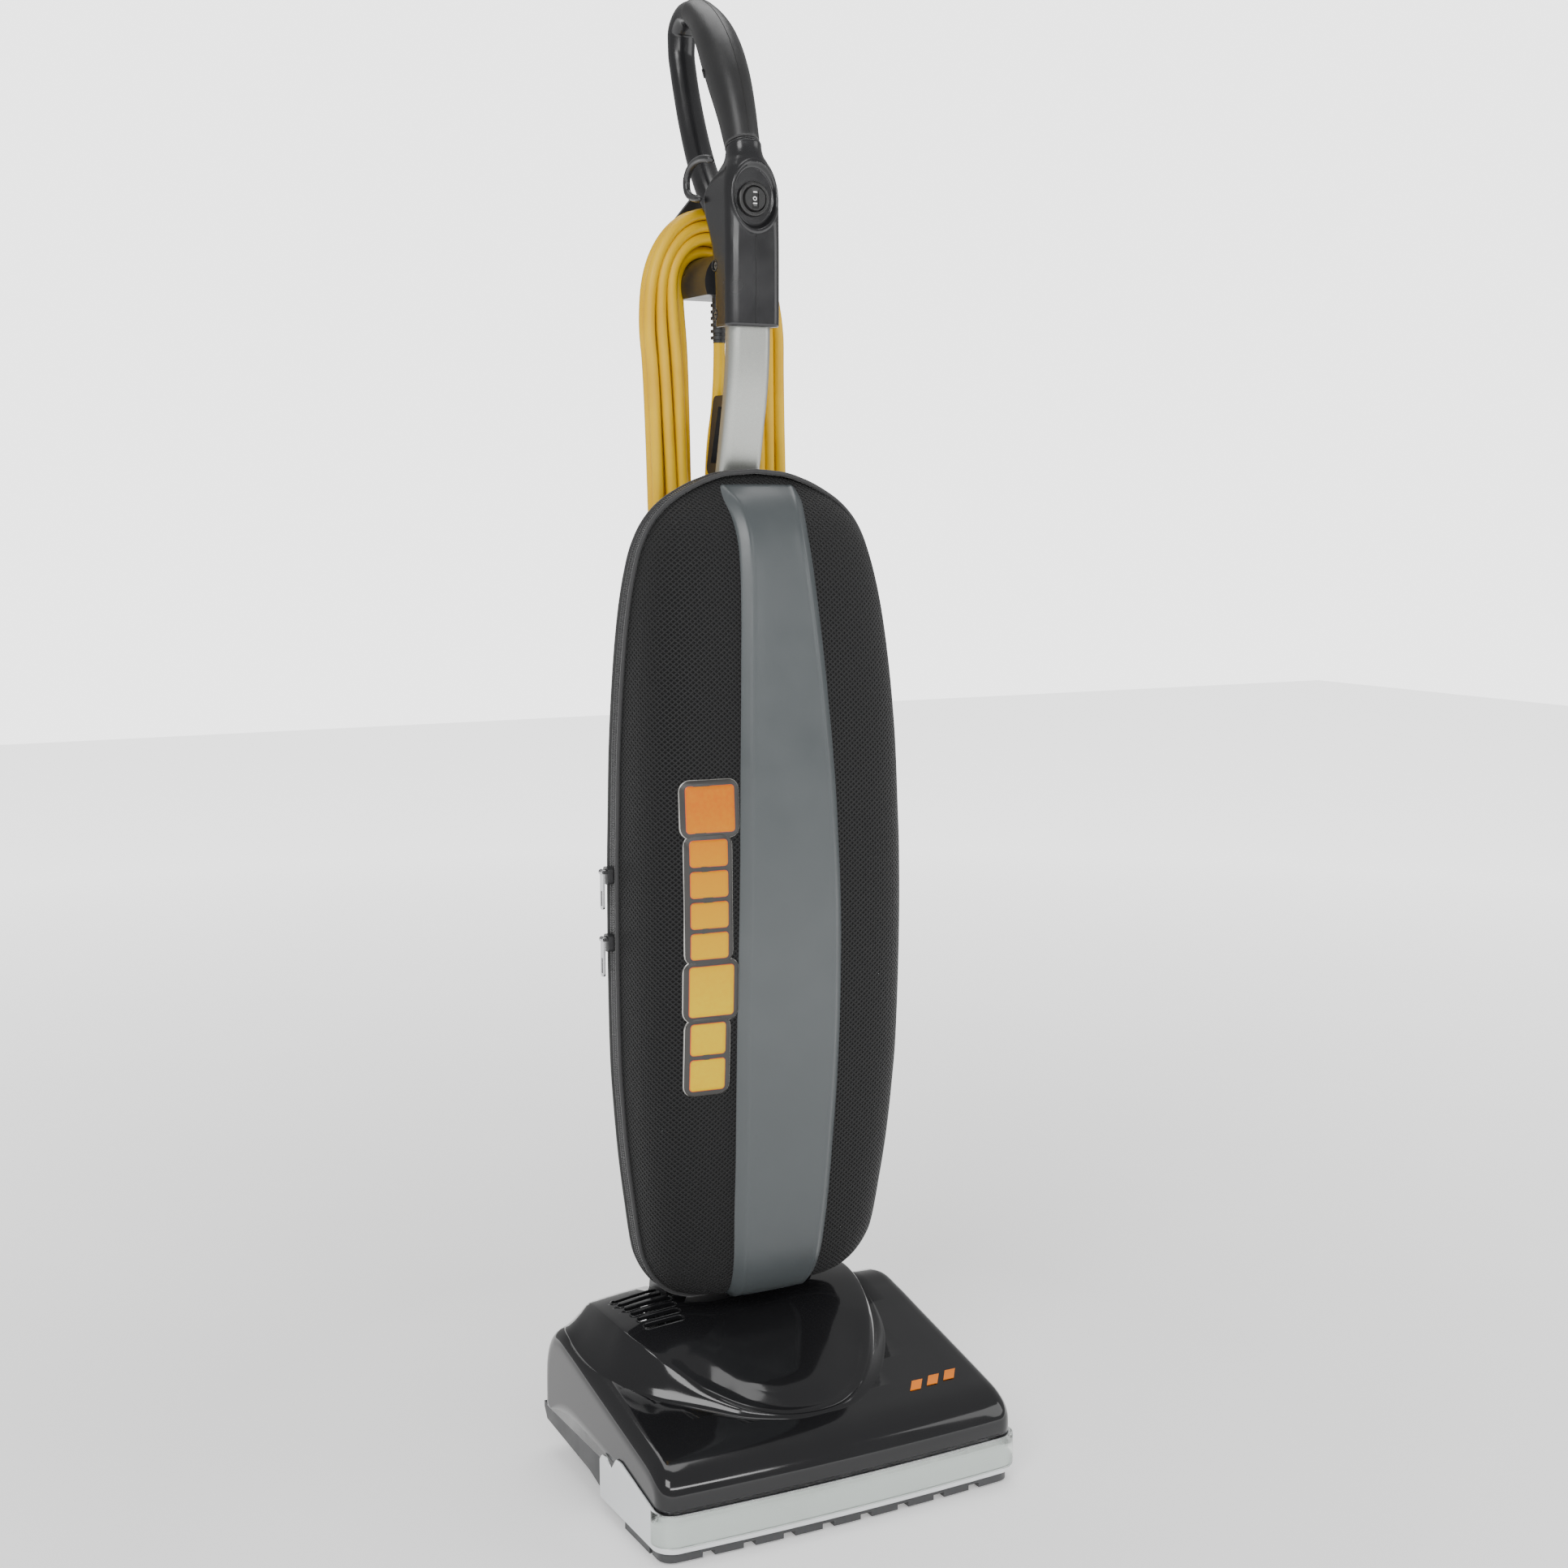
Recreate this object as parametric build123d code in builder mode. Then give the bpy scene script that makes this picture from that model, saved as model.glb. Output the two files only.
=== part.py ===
"""Commercial upright vacuum cleaner: nozzle base, reclining handle and zippered hard-shell bag housing.

Millimetres. +Z is up, the nozzle faces -Y, X = 0 is the plane of symmetry, and the floor is Z = 0.
Parts are written in the order base, drive, handle, bag housing, cord.
"""
import math
import os

from build123d import *

os.makedirs("parts", exist_ok=True)

# ---------------------------------------------------------------- driving dimensions
# base
BASE_HALF = 158.0          # half width of the hood and the base pan
NOSE_Y = -139.0            # front of the hood at its corners
NOSE_BOW = 5.0             # how far the middle of the nose stands forward of its corners
BACK_Y = 101.0             # rear wall of the base
SPLIT_Z = 41.0             # joint line of hood and base pan
SLOPE = math.radians(12.5)  # slope of the hood's top
SLOPE_Y = -116.0           # a point that the sloping top passes through
SLOPE_Z = 77.0
SKIN = 2.5                 # moulded wall
GUARD_LOW = 10.0           # lower edge of the metal nozzle guard
GUARD_HIGH = 40.5
GUARD_T = 1.6
BUMPER_T = 3.0
CLEAR = 0.3                # gap between neighbouring mouldings

# drive
BRUSH_Y, BRUSH_Z = -92.0, 33.0
DOWEL_R = 17.0
BRISTLE_R = 25.5
BRUSH_HALF = 138.0
MOTOR_Y, MOTOR_Z = 0.0, 72.0
MOTOR_R = 40.0
MOTOR_X0, MOTOR_X1 = -108.0, 0.0
MOUNT_X = (-101.0, -22.0)  # left faces of the motor's two rubber rings
SHAFT_R = 4.0
BELT_X = -132.0            # middle of the belt's run
BELT_W = 9.0
BELT_T = 2.5
DRIVE_PULLEY_R = 8.0
BRUSH_PULLEY_R = 18.0
SCROLL_R = 47.0
SCROLL_X0, SCROLL_X1 = 4.0, 40.0
SPOUT_Y = 47.3             # end of the scroll's outlet

# running gear and pivot
WHEEL_R, WHEEL_W = 30.0, 22.0
WHEEL_X, WHEEL_Y = 128.0, 64.0
AXLE_R = 4.0
ROLLER_R, ROLLER_W = 11.0, 16.0
ROLLER_X, ROLLER_Y = 100.0, -50.0
FIT = 0.05                 # radial running clearance
PIVOT_Y, PIVOT_Z = 68.0, 74.0
DUCT_R = 15.0              # bore of the dirt duct
ARM_IN, ARM_OUT = 50.0, 70.0   # the yoke's arms lie between these distances from X = 0

# handle
TUBE_W, TUBE_D, TUBE_T = 36.0, 18.0, 1.8
TUBE_LOW_Y, TUBE_TOP_Y = 50.0, 25.0
TUBE_Z0, TUBE_Z1 = 226.0, 984.0
BEND_LOW_Z, BEND_HIGH_Z = 790.0, 897.0
HOUSING_HALF = 23.5
HOUSING_Z0 = 930.0
SWITCH_Z = 1028.0
SWITCH_FACE_Y = 16.0
CORE_A, CORE_B = 11.5, 9.5     # half axes of the loop's section
GRIP_A, GRIP_B = 19.0, 16.0    # half axes of the soft grip's section

# cord and its hooks
CORD_D = 9.5
SADDLE_R = 24.0
HANK_R = 64.0              # outer radius of the hank's bends
HANK_TOP_Z, HANK_LOW_Z = 967.0, 467.0   # centres of the saddles under its bends
HANK_SHOULDER_Z = 935.0    # where the hank's sides start to lean in towards the top
HANK_Y0, HANK_Y1 = 88.0, 107.0
RELIEF_Y = 76.0
RELIEF_TOP, RELIEF_END = 957.0, 921.0

# bag housing
SEAM_Y = 20.0              # plane of the zipper
SHELL_T = 4.0
BACK_DEPTH = 14.5
TAPE_T = 1.8
DOOR_AXIS_X = 124.6


# ---------------------------------------------------------------- small shape helpers
def block(low, high, mode=Mode.ADD):
    """A box between two opposite corners."""
    size = [b - a for a, b in zip(low, high)]
    middle = [(a + b) / 2 for a, b in zip(low, high)]
    with Locations(tuple(middle)):
        Box(*size, mode=mode)


def rod(axis, start, end, centre, radius, mode=Mode.ADD):
    """A cylinder along X, Y or Z from start to end; centre holds its other two coordinates."""
    middle, length = (start + end) / 2, end - start
    place = {
        "X": Location((middle, centre[0], centre[1]), (0, 90, 0)),
        "Y": Location((centre[0], middle, centre[1]), (90, 0, 0)),
        "Z": Location((centre[0], centre[1], middle)),
    }[axis]
    with Locations(place):
        Cylinder(radius, length, mode=mode)


def prism_x(points, x0, x1, mode=Mode.ADD):
    """A polygon of (y, z) points drawn out from x0 to x1."""
    with BuildSketch(Plane.YZ.offset(x0)) as profile:
        with BuildLine():
            Polyline(*points, close=True)
        make_face()
    extrude(profile.sketch, amount=x1 - x0, mode=mode)


def save(part, name):
    """Label a finished part and write its STEP file."""
    part.label = name
    export_step(part, f"parts/{name}.step")


# ---------------------------------------------------------------- base: shapes shared by its parts
def nose_outline(inset, back_inset=None):
    """Plan of the base in the current sketch: bowed nose, straight sides, rounded corners."""
    half = BASE_HALF - inset
    front = NOSE_Y + inset
    back = BACK_Y - (inset if back_inset is None else back_inset)
    with BuildLine() as edge:
        nose = ThreePointArc((-half, front), (0, front - NOSE_BOW), (half, front))
        Polyline(nose @ 1, (half, back), (-half, back), nose @ 0)
    make_face(edge.edges())
    corners = vertices().group_by(Axis.Y)
    fillet(corners[0], 14 - inset)
    fillet(corners[-1], 22 - inset)


def slope_plane(drop=0.0):
    """The plane of the hood's sloping top, lowered by drop."""
    tilt = Vector(0, -math.sin(SLOPE), math.cos(SLOPE))
    return Plane(origin=Vector(0, SLOPE_Y, SLOPE_Z) - tilt * drop, x_dir=(1, 0, 0), z_dir=tilt)


# half of the raised motor cover's foot, as (x, y), from its tip to its rear corner
BULGE = [(0, -114), (40, -105), (75, -77), (103, -48), (128, -12), (142, 28), (146, 62), (147, 84)]
# the motor cover's roof line, as (y, z), from its tip to its back
ROOF = [(-114, 86), (-80, 97), (-40, 112), (0, 126), (30, 133), (60, 136.5), (92, 137)]


BULGE_TALL = 60.0          # height of the uncut pad above the slope


def bulge_solid(inset, mode=Mode.ADD):
    """The raised motor cover: a tapered pad on the slope, cut off by the roof line."""
    rear = BULGE[-1][1]
    shrink = 1 - inset / 100
    with BuildPart() as pad:
        for height, wide, deep in ((0, 1, 1), (BULGE_TALL, 0.68, 0.86)):
            right = [(x * wide * shrink, rear - (rear - y) * deep * shrink) for x, y in BULGE]
            right = [(x, (y - SLOPE_Y) / math.cos(SLOPE)) for x, y in right]
            left = [(-x, y) for x, y in reversed(right)]
            with BuildSketch(slope_plane(inset - height)):
                with BuildLine():
                    Spline(*(left + right[1:]))
                    Line(right[-1], left[0])
                make_face()
        loft()
        roof = [(y, z - inset) for y, z in ROOF]
        with BuildSketch(Plane.YZ.offset(-BASE_HALF)):
            with BuildLine():
                Spline(*roof)
                Polyline(roof[-1], (roof[-1][0], 40), (roof[0][0], 40), roof[0])
            make_face()
        extrude(amount=2 * BASE_HALF, mode=Mode.INTERSECT)
    add(pad.part, mode=mode)


def hood_block(inset, low, mode=Mode.ADD):
    """The hood without its motor cover, rounded along its top edge."""
    with BuildPart() as body:
        with BuildSketch(Plane.XY.offset(low)):
            nose_outline(inset)
        extrude(amount=140)
        split(bisect_by=slope_plane(inset), keep=Keep.BOTTOM)
        top = faces().sort_by(Axis.Z)[-1]
        fillet(top.edges(), 12 - inset)
    add(body.part, mode=mode)


VENT_COUNT = 6
VENT_PITCH = 10.4
VENT_W = 5.2
VENT_Y = -5.0              # middle of the front slot
VENT_LEAN = 9.6            # degrees


def make_hood():
    """Glossy top cover with the raised motor cover, vent slots and slots for the yoke's arms."""
    with BuildPart() as hood:
        hood_block(0, SPLIT_Z)
        bulge_solid(0)
        hood_block(SKIN, SPLIT_Z - 1, mode=Mode.SUBTRACT)
        bulge_solid(SKIN, mode=Mode.SUBTRACT)
        for i in range(VENT_COUNT):
            x_left, x_right = -112 - 1.2 * i, -76 + 1.6 * i
            with BuildSketch(Plane.XY.offset(100)):
                with Locations(((x_left + x_right) / 2, VENT_Y + i * VENT_PITCH)):
                    SlotOverall(x_right - x_left, VENT_W, rotation=VENT_LEAN)
            extrude(amount=50, mode=Mode.SUBTRACT)
        for side in (-1, 1):
            x0, x1 = sorted((side * (ARM_IN - 4), side * (ARM_OUT + 4)))
            block((x0, PIVOT_Y - 34, PIVOT_Z - 22), (x1, BACK_Y + 5, 150), mode=Mode.SUBTRACT)
        block((-108, BACK_Y - 14, SPLIT_Z - 1), (-78, BACK_Y + 5, 52), mode=Mode.SUBTRACT)
    save(hood.part, "top_hood")


def make_hood_badge():
    """Three slanted bars on the right of the nose, each a thin plate of its own."""
    with BuildPart() as badge:
        with BuildSketch(slope_plane(-0.05)):
            for i in range(3):
                with Locations((88 + 17 * i, 16 + 2 * i)):
                    Polygon((-9, -5), (1, -5), (9, 6), (-1, 6), align=None)
        extrude(amount=0.6)
    save(badge.part, "hood_badge")


PAN_SIDE = [(NOSE_Y - 2, SPLIT_Z - CLEAR), (BACK_Y, SPLIT_Z - CLEAR), (BACK_Y, 36), (BACK_Y - 6, 27),
            (4, 19), (-24, 12), (NOSE_Y - 2, 12)]
CHAMBER_FRONT, CHAMBER_BACK = -124.0, -62.0
CHAMBER_HALF = 142.0


def make_base_pan():
    """Lower casing: tray with the brush chamber, wheel wells, axle bosses and motor cradle."""
    with BuildPart() as pan:
        prism_x(PAN_SIDE, -BASE_HALF, BASE_HALF)
        with BuildSketch(Plane.XY):
            nose_outline(2.0, 0.0)
        extrude(amount=SPLIT_Z, mode=Mode.INTERSECT)
        # hollow rear half, then the brush chamber, open to the floor
        block((-BASE_HALF + 6, CHAMBER_BACK + 4, 23), (BASE_HALF - 6, BACK_Y - 6, 60), mode=Mode.SUBTRACT)
        block((-CHAMBER_HALF, CHAMBER_FRONT, 0), (CHAMBER_HALF, CHAMBER_BACK, 60), mode=Mode.SUBTRACT)
        block((-BASE_HALF + 6, NOSE_Y + 6, 30), (BASE_HALF - 6, CHAMBER_FRONT - 3, 60), mode=Mode.SUBTRACT)
        for side in (-1, 1):
            x = side * WHEEL_X
            # wheel well and the two walls that hold the axle
            well = WHEEL_W / 2 + 3
            block((x - well, WHEEL_Y - 36, 0), (x + well, BACK_Y - 6, 60), mode=Mode.SUBTRACT)
            for wall in (x - well - 3, x + well):
                block((wall, WHEEL_Y - 10, 22), (wall + 3, WHEEL_Y + 10, SPLIT_Z - CLEAR))
            # opening and ears of the front roller
            x = side * ROLLER_X
            ear = ROLLER_W / 2 + 1
            block((x - ear, ROLLER_Y - 14, 0), (x + ear, ROLLER_Y + 14, 60), mode=Mode.SUBTRACT)
            for wall in (x - ear - 4, x + ear):
                block((wall, ROLLER_Y - 8, 8), (wall + 4, ROLLER_Y + 8, 27))
        rod("X", -BASE_HALF + 6, BASE_HALF - 6, (WHEEL_Y, WHEEL_R), AXLE_R + 0.05, mode=Mode.SUBTRACT)
        for side in (-1, 1):
            x = side * ROLLER_X
            reach = ROLLER_W / 2 + 6
            rod("X", x - reach, x + reach, (ROLLER_Y, ROLLER_R), 2.05, mode=Mode.SUBTRACT)
        # cut-out under the foot pedal, and the belt's way into the brush chamber
        block((-108, BACK_Y - 14, 30), (-78, BACK_Y + 5, 60), mode=Mode.SUBTRACT)
        block((BELT_X - 8, CHAMBER_BACK - 1, 12), (BELT_X + 8, CHAMBER_BACK + 6, 60), mode=Mode.SUBTRACT)
        # cradle under the motor's rubber rings
        for x in MOUNT_X:
            block((x, MOTOR_Y - 40, 22), (x + 9, MOTOR_Y + 36, 60))
            rod("X", x - 1, x + 10, (MOTOR_Y, MOTOR_Z), MOTOR_R + 4, mode=Mode.SUBTRACT)
    save(pan.part, "base_pan")


def guard_outline(outset):
    """Plan of the nose, grown by outset, in the current sketch."""
    half = BASE_HALF + outset
    front = NOSE_Y - outset
    with BuildLine() as edge:
        nose = ThreePointArc((-half, front), (0, front - NOSE_BOW), (half, front))
        Polyline(nose @ 1, (half, 0), (-half, 0), nose @ 0)
    make_face(edge.edges())
    fillet(vertices().group_by(Axis.Y)[0], 14 + outset)


# side view of the guard's wing, as (y, z)
WING = [(-175, GUARD_LOW), (-26, GUARD_LOW), (-26, 42), (-30, 47), (-38, 48), (-48, 42), (-58, 54),
        (-66, 55), (-134, GUARD_HIGH), (-175, GUARD_HIGH)]


def make_nozzle_guard():
    """Zinc-plated strip round the nose, with a wing up each side of the base."""
    with BuildPart() as guard:
        with BuildSketch(Plane.XY):
            guard_outline(CLEAR + GUARD_T)
            with BuildSketch(mode=Mode.PRIVATE) as inner:
                guard_outline(CLEAR)
            add(inner.sketch, mode=Mode.SUBTRACT)
        extrude(amount=70)
        prism_x(WING, -200, 200, mode=Mode.INTERSECT)
    save(guard.part, "nozzle_guard")


def make_furniture_bumper():
    """Clear vinyl strip over the guard's face, wrapped round both front corners."""
    inside = CLEAR + GUARD_T
    with BuildPart() as bumper:
        with BuildSketch(Plane.XY.offset(15)):
            guard_outline(inside + BUMPER_T)
            with BuildSketch(mode=Mode.PRIVATE) as inner:
                guard_outline(inside)
            add(inner.sketch, mode=Mode.SUBTRACT)
        extrude(amount=GUARD_HIGH - 15)
        block((-200, NOSE_Y + 14, 0), (200, 50, 80), mode=Mode.SUBTRACT)
        front_edges = edges().filter_by(GeomType.LINE, reverse=True).group_by(Axis.Z)
        fillet([group.sort_by(SortBy.LENGTH)[-1] for group in (front_edges[0], front_edges[-1])], 0.8)
    save(bumper.part, "furniture_bumper")


def make_glide_strip():
    """Notched plastic strip under the nose, and a skid under each wing."""
    with BuildPart() as strip:
        with BuildSketch(Plane.XY.offset(1.5)):
            guard_outline(-2.0)
            with BuildSketch(mode=Mode.PRIVATE) as inner:
                guard_outline(-9.0)
            add(inner.sketch, mode=Mode.SUBTRACT)
        extrude(amount=GUARD_LOW + 2 - 1.5)
        block((-200, NOSE_Y + 22, 0), (200, 50, 80), mode=Mode.SUBTRACT)
        # raised lands between lower teeth
        for i in range(-4, 4):
            x = 34 * i + 17
            block((x - 5, -200, 0), (x + 5, NOSE_Y + 12, 5.5), mode=Mode.SUBTRACT)
        for side in (-1, 1):
            x0, x1 = sorted((side * 147, side * 156))
            block((x0, -112, 0), (x1, -66, 12))
    save(strip.part, "glide_strip")


def make_brush_cover():
    """Steel frame round the mouth of the brush chamber."""
    with BuildPart() as plate:
        block((-145, -129, 9.5), (145, -62.3, 11.5))
        with BuildSketch(Plane.XY.offset(9)):
            with Locations((0, -93.5)):
                RectangleRounded(280, 55, 6)
        extrude(amount=4, mode=Mode.SUBTRACT)
    save(plate.part, "brush_cover_plate")


# ---------------------------------------------------------------- drive
def make_motor():
    """Motor can with its end frames, and its two rubber mounting rings."""
    x0, x1 = MOTOR_X0, MOTOR_X1
    with BuildPart() as can:
        rod("X", x0, x1, (MOTOR_Y, MOTOR_Z), MOTOR_R)
        rod("X", x0 + 4, x1 - 4, (MOTOR_Y, MOTOR_Z), MOTOR_R - 3, mode=Mode.SUBTRACT)
        for i in range(10):
            angle = math.radians(36 * i)
            y = MOTOR_Y + 26 * math.cos(angle)
            z = MOTOR_Z + 26 * math.sin(angle)
            rod("X", x0 - 1, x0 + 5, (y, z), 5, mode=Mode.SUBTRACT)
        for start, end in ((x0 - 8, x0), (x1, x1 + 3.5)):
            rod("X", start, end, (MOTOR_Y, MOTOR_Z), 11)
        rod("X", x0 - 10, x1 + 10, (MOTOR_Y, MOTOR_Z), SHAFT_R + FIT, mode=Mode.SUBTRACT)
    save(can.part, "motor_case")
    with BuildPart() as rings:
        for x in MOUNT_X:
            rod("X", x, x + 9, (MOTOR_Y, MOTOR_Z), MOTOR_R + 4)
            rod("X", x - 1, x + 10, (MOTOR_Y, MOTOR_Z), MOTOR_R, mode=Mode.SUBTRACT)
    save(rings.part, "motor_mounts")


def make_rotor():
    """Armature on its shaft, the dirt fan and the belt pulley."""
    with BuildPart() as shaft:
        rod("X", BELT_X - 6, 34, (MOTOR_Y, MOTOR_Z), SHAFT_R)
        rod("X", -90, -28, (MOTOR_Y, MOTOR_Z), 22)
        rod("X", -103, -93, (MOTOR_Y, MOTOR_Z), 11)
    save(shaft.part, "motor_shaft")
    with BuildPart() as fan:
        rod("X", 9, 12, (MOTOR_Y, MOTOR_Z), 40)
        rod("X", 12, 30, (MOTOR_Y, MOTOR_Z), 9)
        for i in range(7):
            turn = 360 / 7 * i
            with Locations(Location((0, MOTOR_Y, MOTOR_Z), (turn, 0, 0))):
                with Locations((20, 0, 23)):
                    Box(16, 2.5, 32)
        rod("X", 8, 35, (MOTOR_Y, MOTOR_Z), SHAFT_R, mode=Mode.SUBTRACT)
    save(fan.part, "dirt_fan")
    with BuildPart() as pulley:
        rod("X", BELT_X - 6, BELT_X + 5.4, (MOTOR_Y, MOTOR_Z), DRIVE_PULLEY_R)
        rod("X", BELT_X - 7, BELT_X + 6, (MOTOR_Y, MOTOR_Z), SHAFT_R, mode=Mode.SUBTRACT)
    save(pulley.part, "drive_pulley")


def make_belt():
    """Flat belt round the drive pulley and the brush roll, the outer tangents of two circles."""
    gap = 0.3
    centres = [Vector(BRUSH_Y, BRUSH_Z), Vector(MOTOR_Y, MOTOR_Z)]
    with BuildPart() as belt:
        for extra, mode in ((BELT_T, Mode.ADD), (0.0, Mode.SUBTRACT)):
            radii = [BRUSH_PULLEY_R + gap + extra, DRIVE_PULLEY_R + gap + extra]
            with BuildSketch(Plane.YZ.offset(BELT_X - BELT_W / 2)):
                for centre, radius in zip(centres, radii):
                    with Locations(centre):
                        Circle(radius)
                make_hull()
            extrude(amount=BELT_W, mode=mode)
    save(belt.part, "drive_belt")


def make_fan_housing():
    """Scroll round the fan in two halves, with the intake in its outer half."""
    middle = (SCROLL_X0 + SCROLL_X1) / 2
    for name, x0, x1, wall, hole in (
        ("fan_housing_inner", SCROLL_X0, middle, SCROLL_X0, 12.0),
        ("fan_housing_outer", middle, SCROLL_X1, SCROLL_X1 - 3, 20.0),
    ):
        with BuildPart() as half:
            rod("X", x0, x1, (MOTOR_Y, MOTOR_Z), SCROLL_R)
            block((x0, MOTOR_Y, MOTOR_Z + 12), (x1, SPOUT_Y, MOTOR_Z + SCROLL_R - 1))
            start = x0 + 3 if x0 == wall else x0 - 1
            end = x1 + 1 if x0 == wall else x1 - 3
            rod("X", start, end, (MOTOR_Y, MOTOR_Z), SCROLL_R - 3, mode=Mode.SUBTRACT)
            block((start, MOTOR_Y, MOTOR_Z + 15), (end, SPOUT_Y + 3, MOTOR_Z + SCROLL_R - 4),
                  mode=Mode.SUBTRACT)
            rod("X", x0 - 1, x1 + 1, (MOTOR_Y, MOTOR_Z), hole, mode=Mode.SUBTRACT)
        save(half.part, name)


def make_ducts():
    """Intake from the brush chamber to the fan's eye, and outlet from the scroll to the pivot."""
    x0, x1 = SCROLL_X1 + CLEAR, SCROLL_X1 + 36
    with BuildPart() as intake:
        block((x0, CHAMBER_BACK + 5, 24), (x1, MOTOR_Y + 26, MOTOR_Z + 26))
        block((x0 + 3, CHAMBER_BACK, 30), (x1 - 3, MOTOR_Y + 23, MOTOR_Z + 23), mode=Mode.SUBTRACT)
        prism_x([(CHAMBER_BACK, 62), (-20, MOTOR_Z + 30), (CHAMBER_BACK, MOTOR_Z + 30)], x0 - 1, x1 + 1,
                mode=Mode.SUBTRACT)
        rod("X", x0 - 1, x0 + 4, (MOTOR_Y, MOTOR_Z), 20, mode=Mode.SUBTRACT)
    save(intake.part, "intake_duct")
    low_x, high_x = SCROLL_X0 + 1, ARM_IN - 4.5
    back_y = SPOUT_Y + CLEAR
    with BuildPart() as outlet:
        block((low_x, back_y, PIVOT_Z - 18), (high_x, PIVOT_Y + 19, MOTOR_Z + SCROLL_R - 1))
        block((low_x + 3, back_y - 1, MOTOR_Z + 15), (SCROLL_X1 - 3, back_y + 20, MOTOR_Z + SCROLL_R - 4),
              mode=Mode.SUBTRACT)
        block((low_x + 3, back_y + 3, PIVOT_Z - 15), (high_x - 3, PIVOT_Y + 16, MOTOR_Z + SCROLL_R - 4),
              mode=Mode.SUBTRACT)
        # hollow trunnion, on which the yoke's right arm turns
        rod("X", high_x - 1, ARM_IN + 6, (PIVOT_Y, PIVOT_Z), DUCT_R + 2)
        rod("X", high_x - 5, ARM_IN + 7, (PIVOT_Y, PIVOT_Z), DUCT_R - 1, mode=Mode.SUBTRACT)
    save(outlet.part, "outlet_duct")


def make_brush():
    """Brush roll: wooden dowel with its belt pulley, two rows of tufts, and the end caps."""
    with BuildPart() as dowel:
        rod("X", -BRUSH_HALF + 14, BRUSH_HALF - 3, (BRUSH_Y, BRUSH_Z), DOWEL_R)
        rod("X", BELT_X - 6, BELT_X + 7.5, (BRUSH_Y, BRUSH_Z), BRUSH_PULLEY_R)
        rod("X", BELT_X - 7, BRUSH_HALF + 1, (BRUSH_Y, BRUSH_Z), 5)
        for x0, x1 in ((BELT_X - 8, BELT_X + 1), (BRUSH_HALF - 9, BRUSH_HALF + 2)):
            rod("X", x0, x1, (BRUSH_Y, BRUSH_Z), 2.5 + FIT, mode=Mode.SUBTRACT)
    save(dowel.part, "brush_dowel")
    with BuildPart() as tufts:
        for i in range(18):
            x = -108 + 13.6 * i
            turn = 22 * i
            for opposite in (0, 180):
                with Locations(Location((x, BRUSH_Y, BRUSH_Z), (turn + opposite, 0, 0))):
                    with Locations((0, 0, (DOWEL_R + BRISTLE_R) / 2 + 0.1)):
                        Cylinder(3.2, BRISTLE_R - DOWEL_R)
    save(tufts.part, "brush_tufts")
    with BuildPart() as pins:
        for x0, x1, deep in ((-CHAMBER_HALF + 0.2, BELT_X - 7.3, BELT_X),
                             (CHAMBER_HALF - 0.2, BRUSH_HALF + 1.3, BRUSH_HALF - 8)):
            low, high = sorted((x0, x1))
            block((low, BRUSH_Y - 13, 14), (high, BRUSH_Y + 13, 48))
            low, high = sorted((x1, deep))
            rod("X", low, high, (BRUSH_Y, BRUSH_Z), 2.5)
    save(pins.part, "brush_end_caps")


# ---------------------------------------------------------------- wheels and foot pedal
def make_wheels():
    """Rear wheels with tyres on a through axle, and two front rollers on short pins."""
    with BuildPart() as axles:
        rod("X", -BASE_HALF + 7, BASE_HALF - 7, (WHEEL_Y, WHEEL_R), AXLE_R)
        for side in (-1, 1):
            x = side * ROLLER_X
            reach = ROLLER_W / 2 + 5
            rod("X", x - reach, x + reach, (ROLLER_Y, ROLLER_R), 2)
    save(axles.part, "axles")
    for side, word in ((-1, "left"), (1, "right")):
        x = side * WHEEL_X
        x0, x1 = x - WHEEL_W / 2, x + WHEEL_W / 2
        with BuildPart() as hub:
            rod("X", x0, x1, (WHEEL_Y, WHEEL_R), WHEEL_R - 5)
            for face, deep in ((x0, x0 + 5), (x1 - 5, x1)):
                rod("X", face, deep, (WHEEL_Y, WHEEL_R), WHEEL_R - 8, mode=Mode.SUBTRACT)
                rod("X", face, deep, (WHEEL_Y, WHEEL_R), 9)
            rod("X", x0 - 1, x1 + 1, (WHEEL_Y, WHEEL_R), AXLE_R + FIT, mode=Mode.SUBTRACT)
        save(hub.part, f"rear_wheel_{word}")
        with BuildPart() as tyre:
            rod("X", x0, x1, (WHEEL_Y, WHEEL_R), WHEEL_R)
            fillet(edges().filter_by(GeomType.CIRCLE), 2.5)
            rod("X", x0 - 1, x1 + 1, (WHEEL_Y, WHEEL_R), WHEEL_R - 5, mode=Mode.SUBTRACT)
        save(tyre.part, f"rear_tyre_{word}")
        x = side * ROLLER_X
        with BuildPart() as roller:
            rod("X", x - ROLLER_W / 2, x + ROLLER_W / 2, (ROLLER_Y, ROLLER_R), ROLLER_R)
            fillet(edges().filter_by(GeomType.CIRCLE), 1.5)
            rod("X", x - ROLLER_W, x + ROLLER_W, (ROLLER_Y, ROLLER_R), 2 + FIT, mode=Mode.SUBTRACT)
        save(roller.part, f"front_roller_{word}")


PEDAL_X = -93.0
PEDAL_Y, PEDAL_Z = 90.0, 42.0


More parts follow.
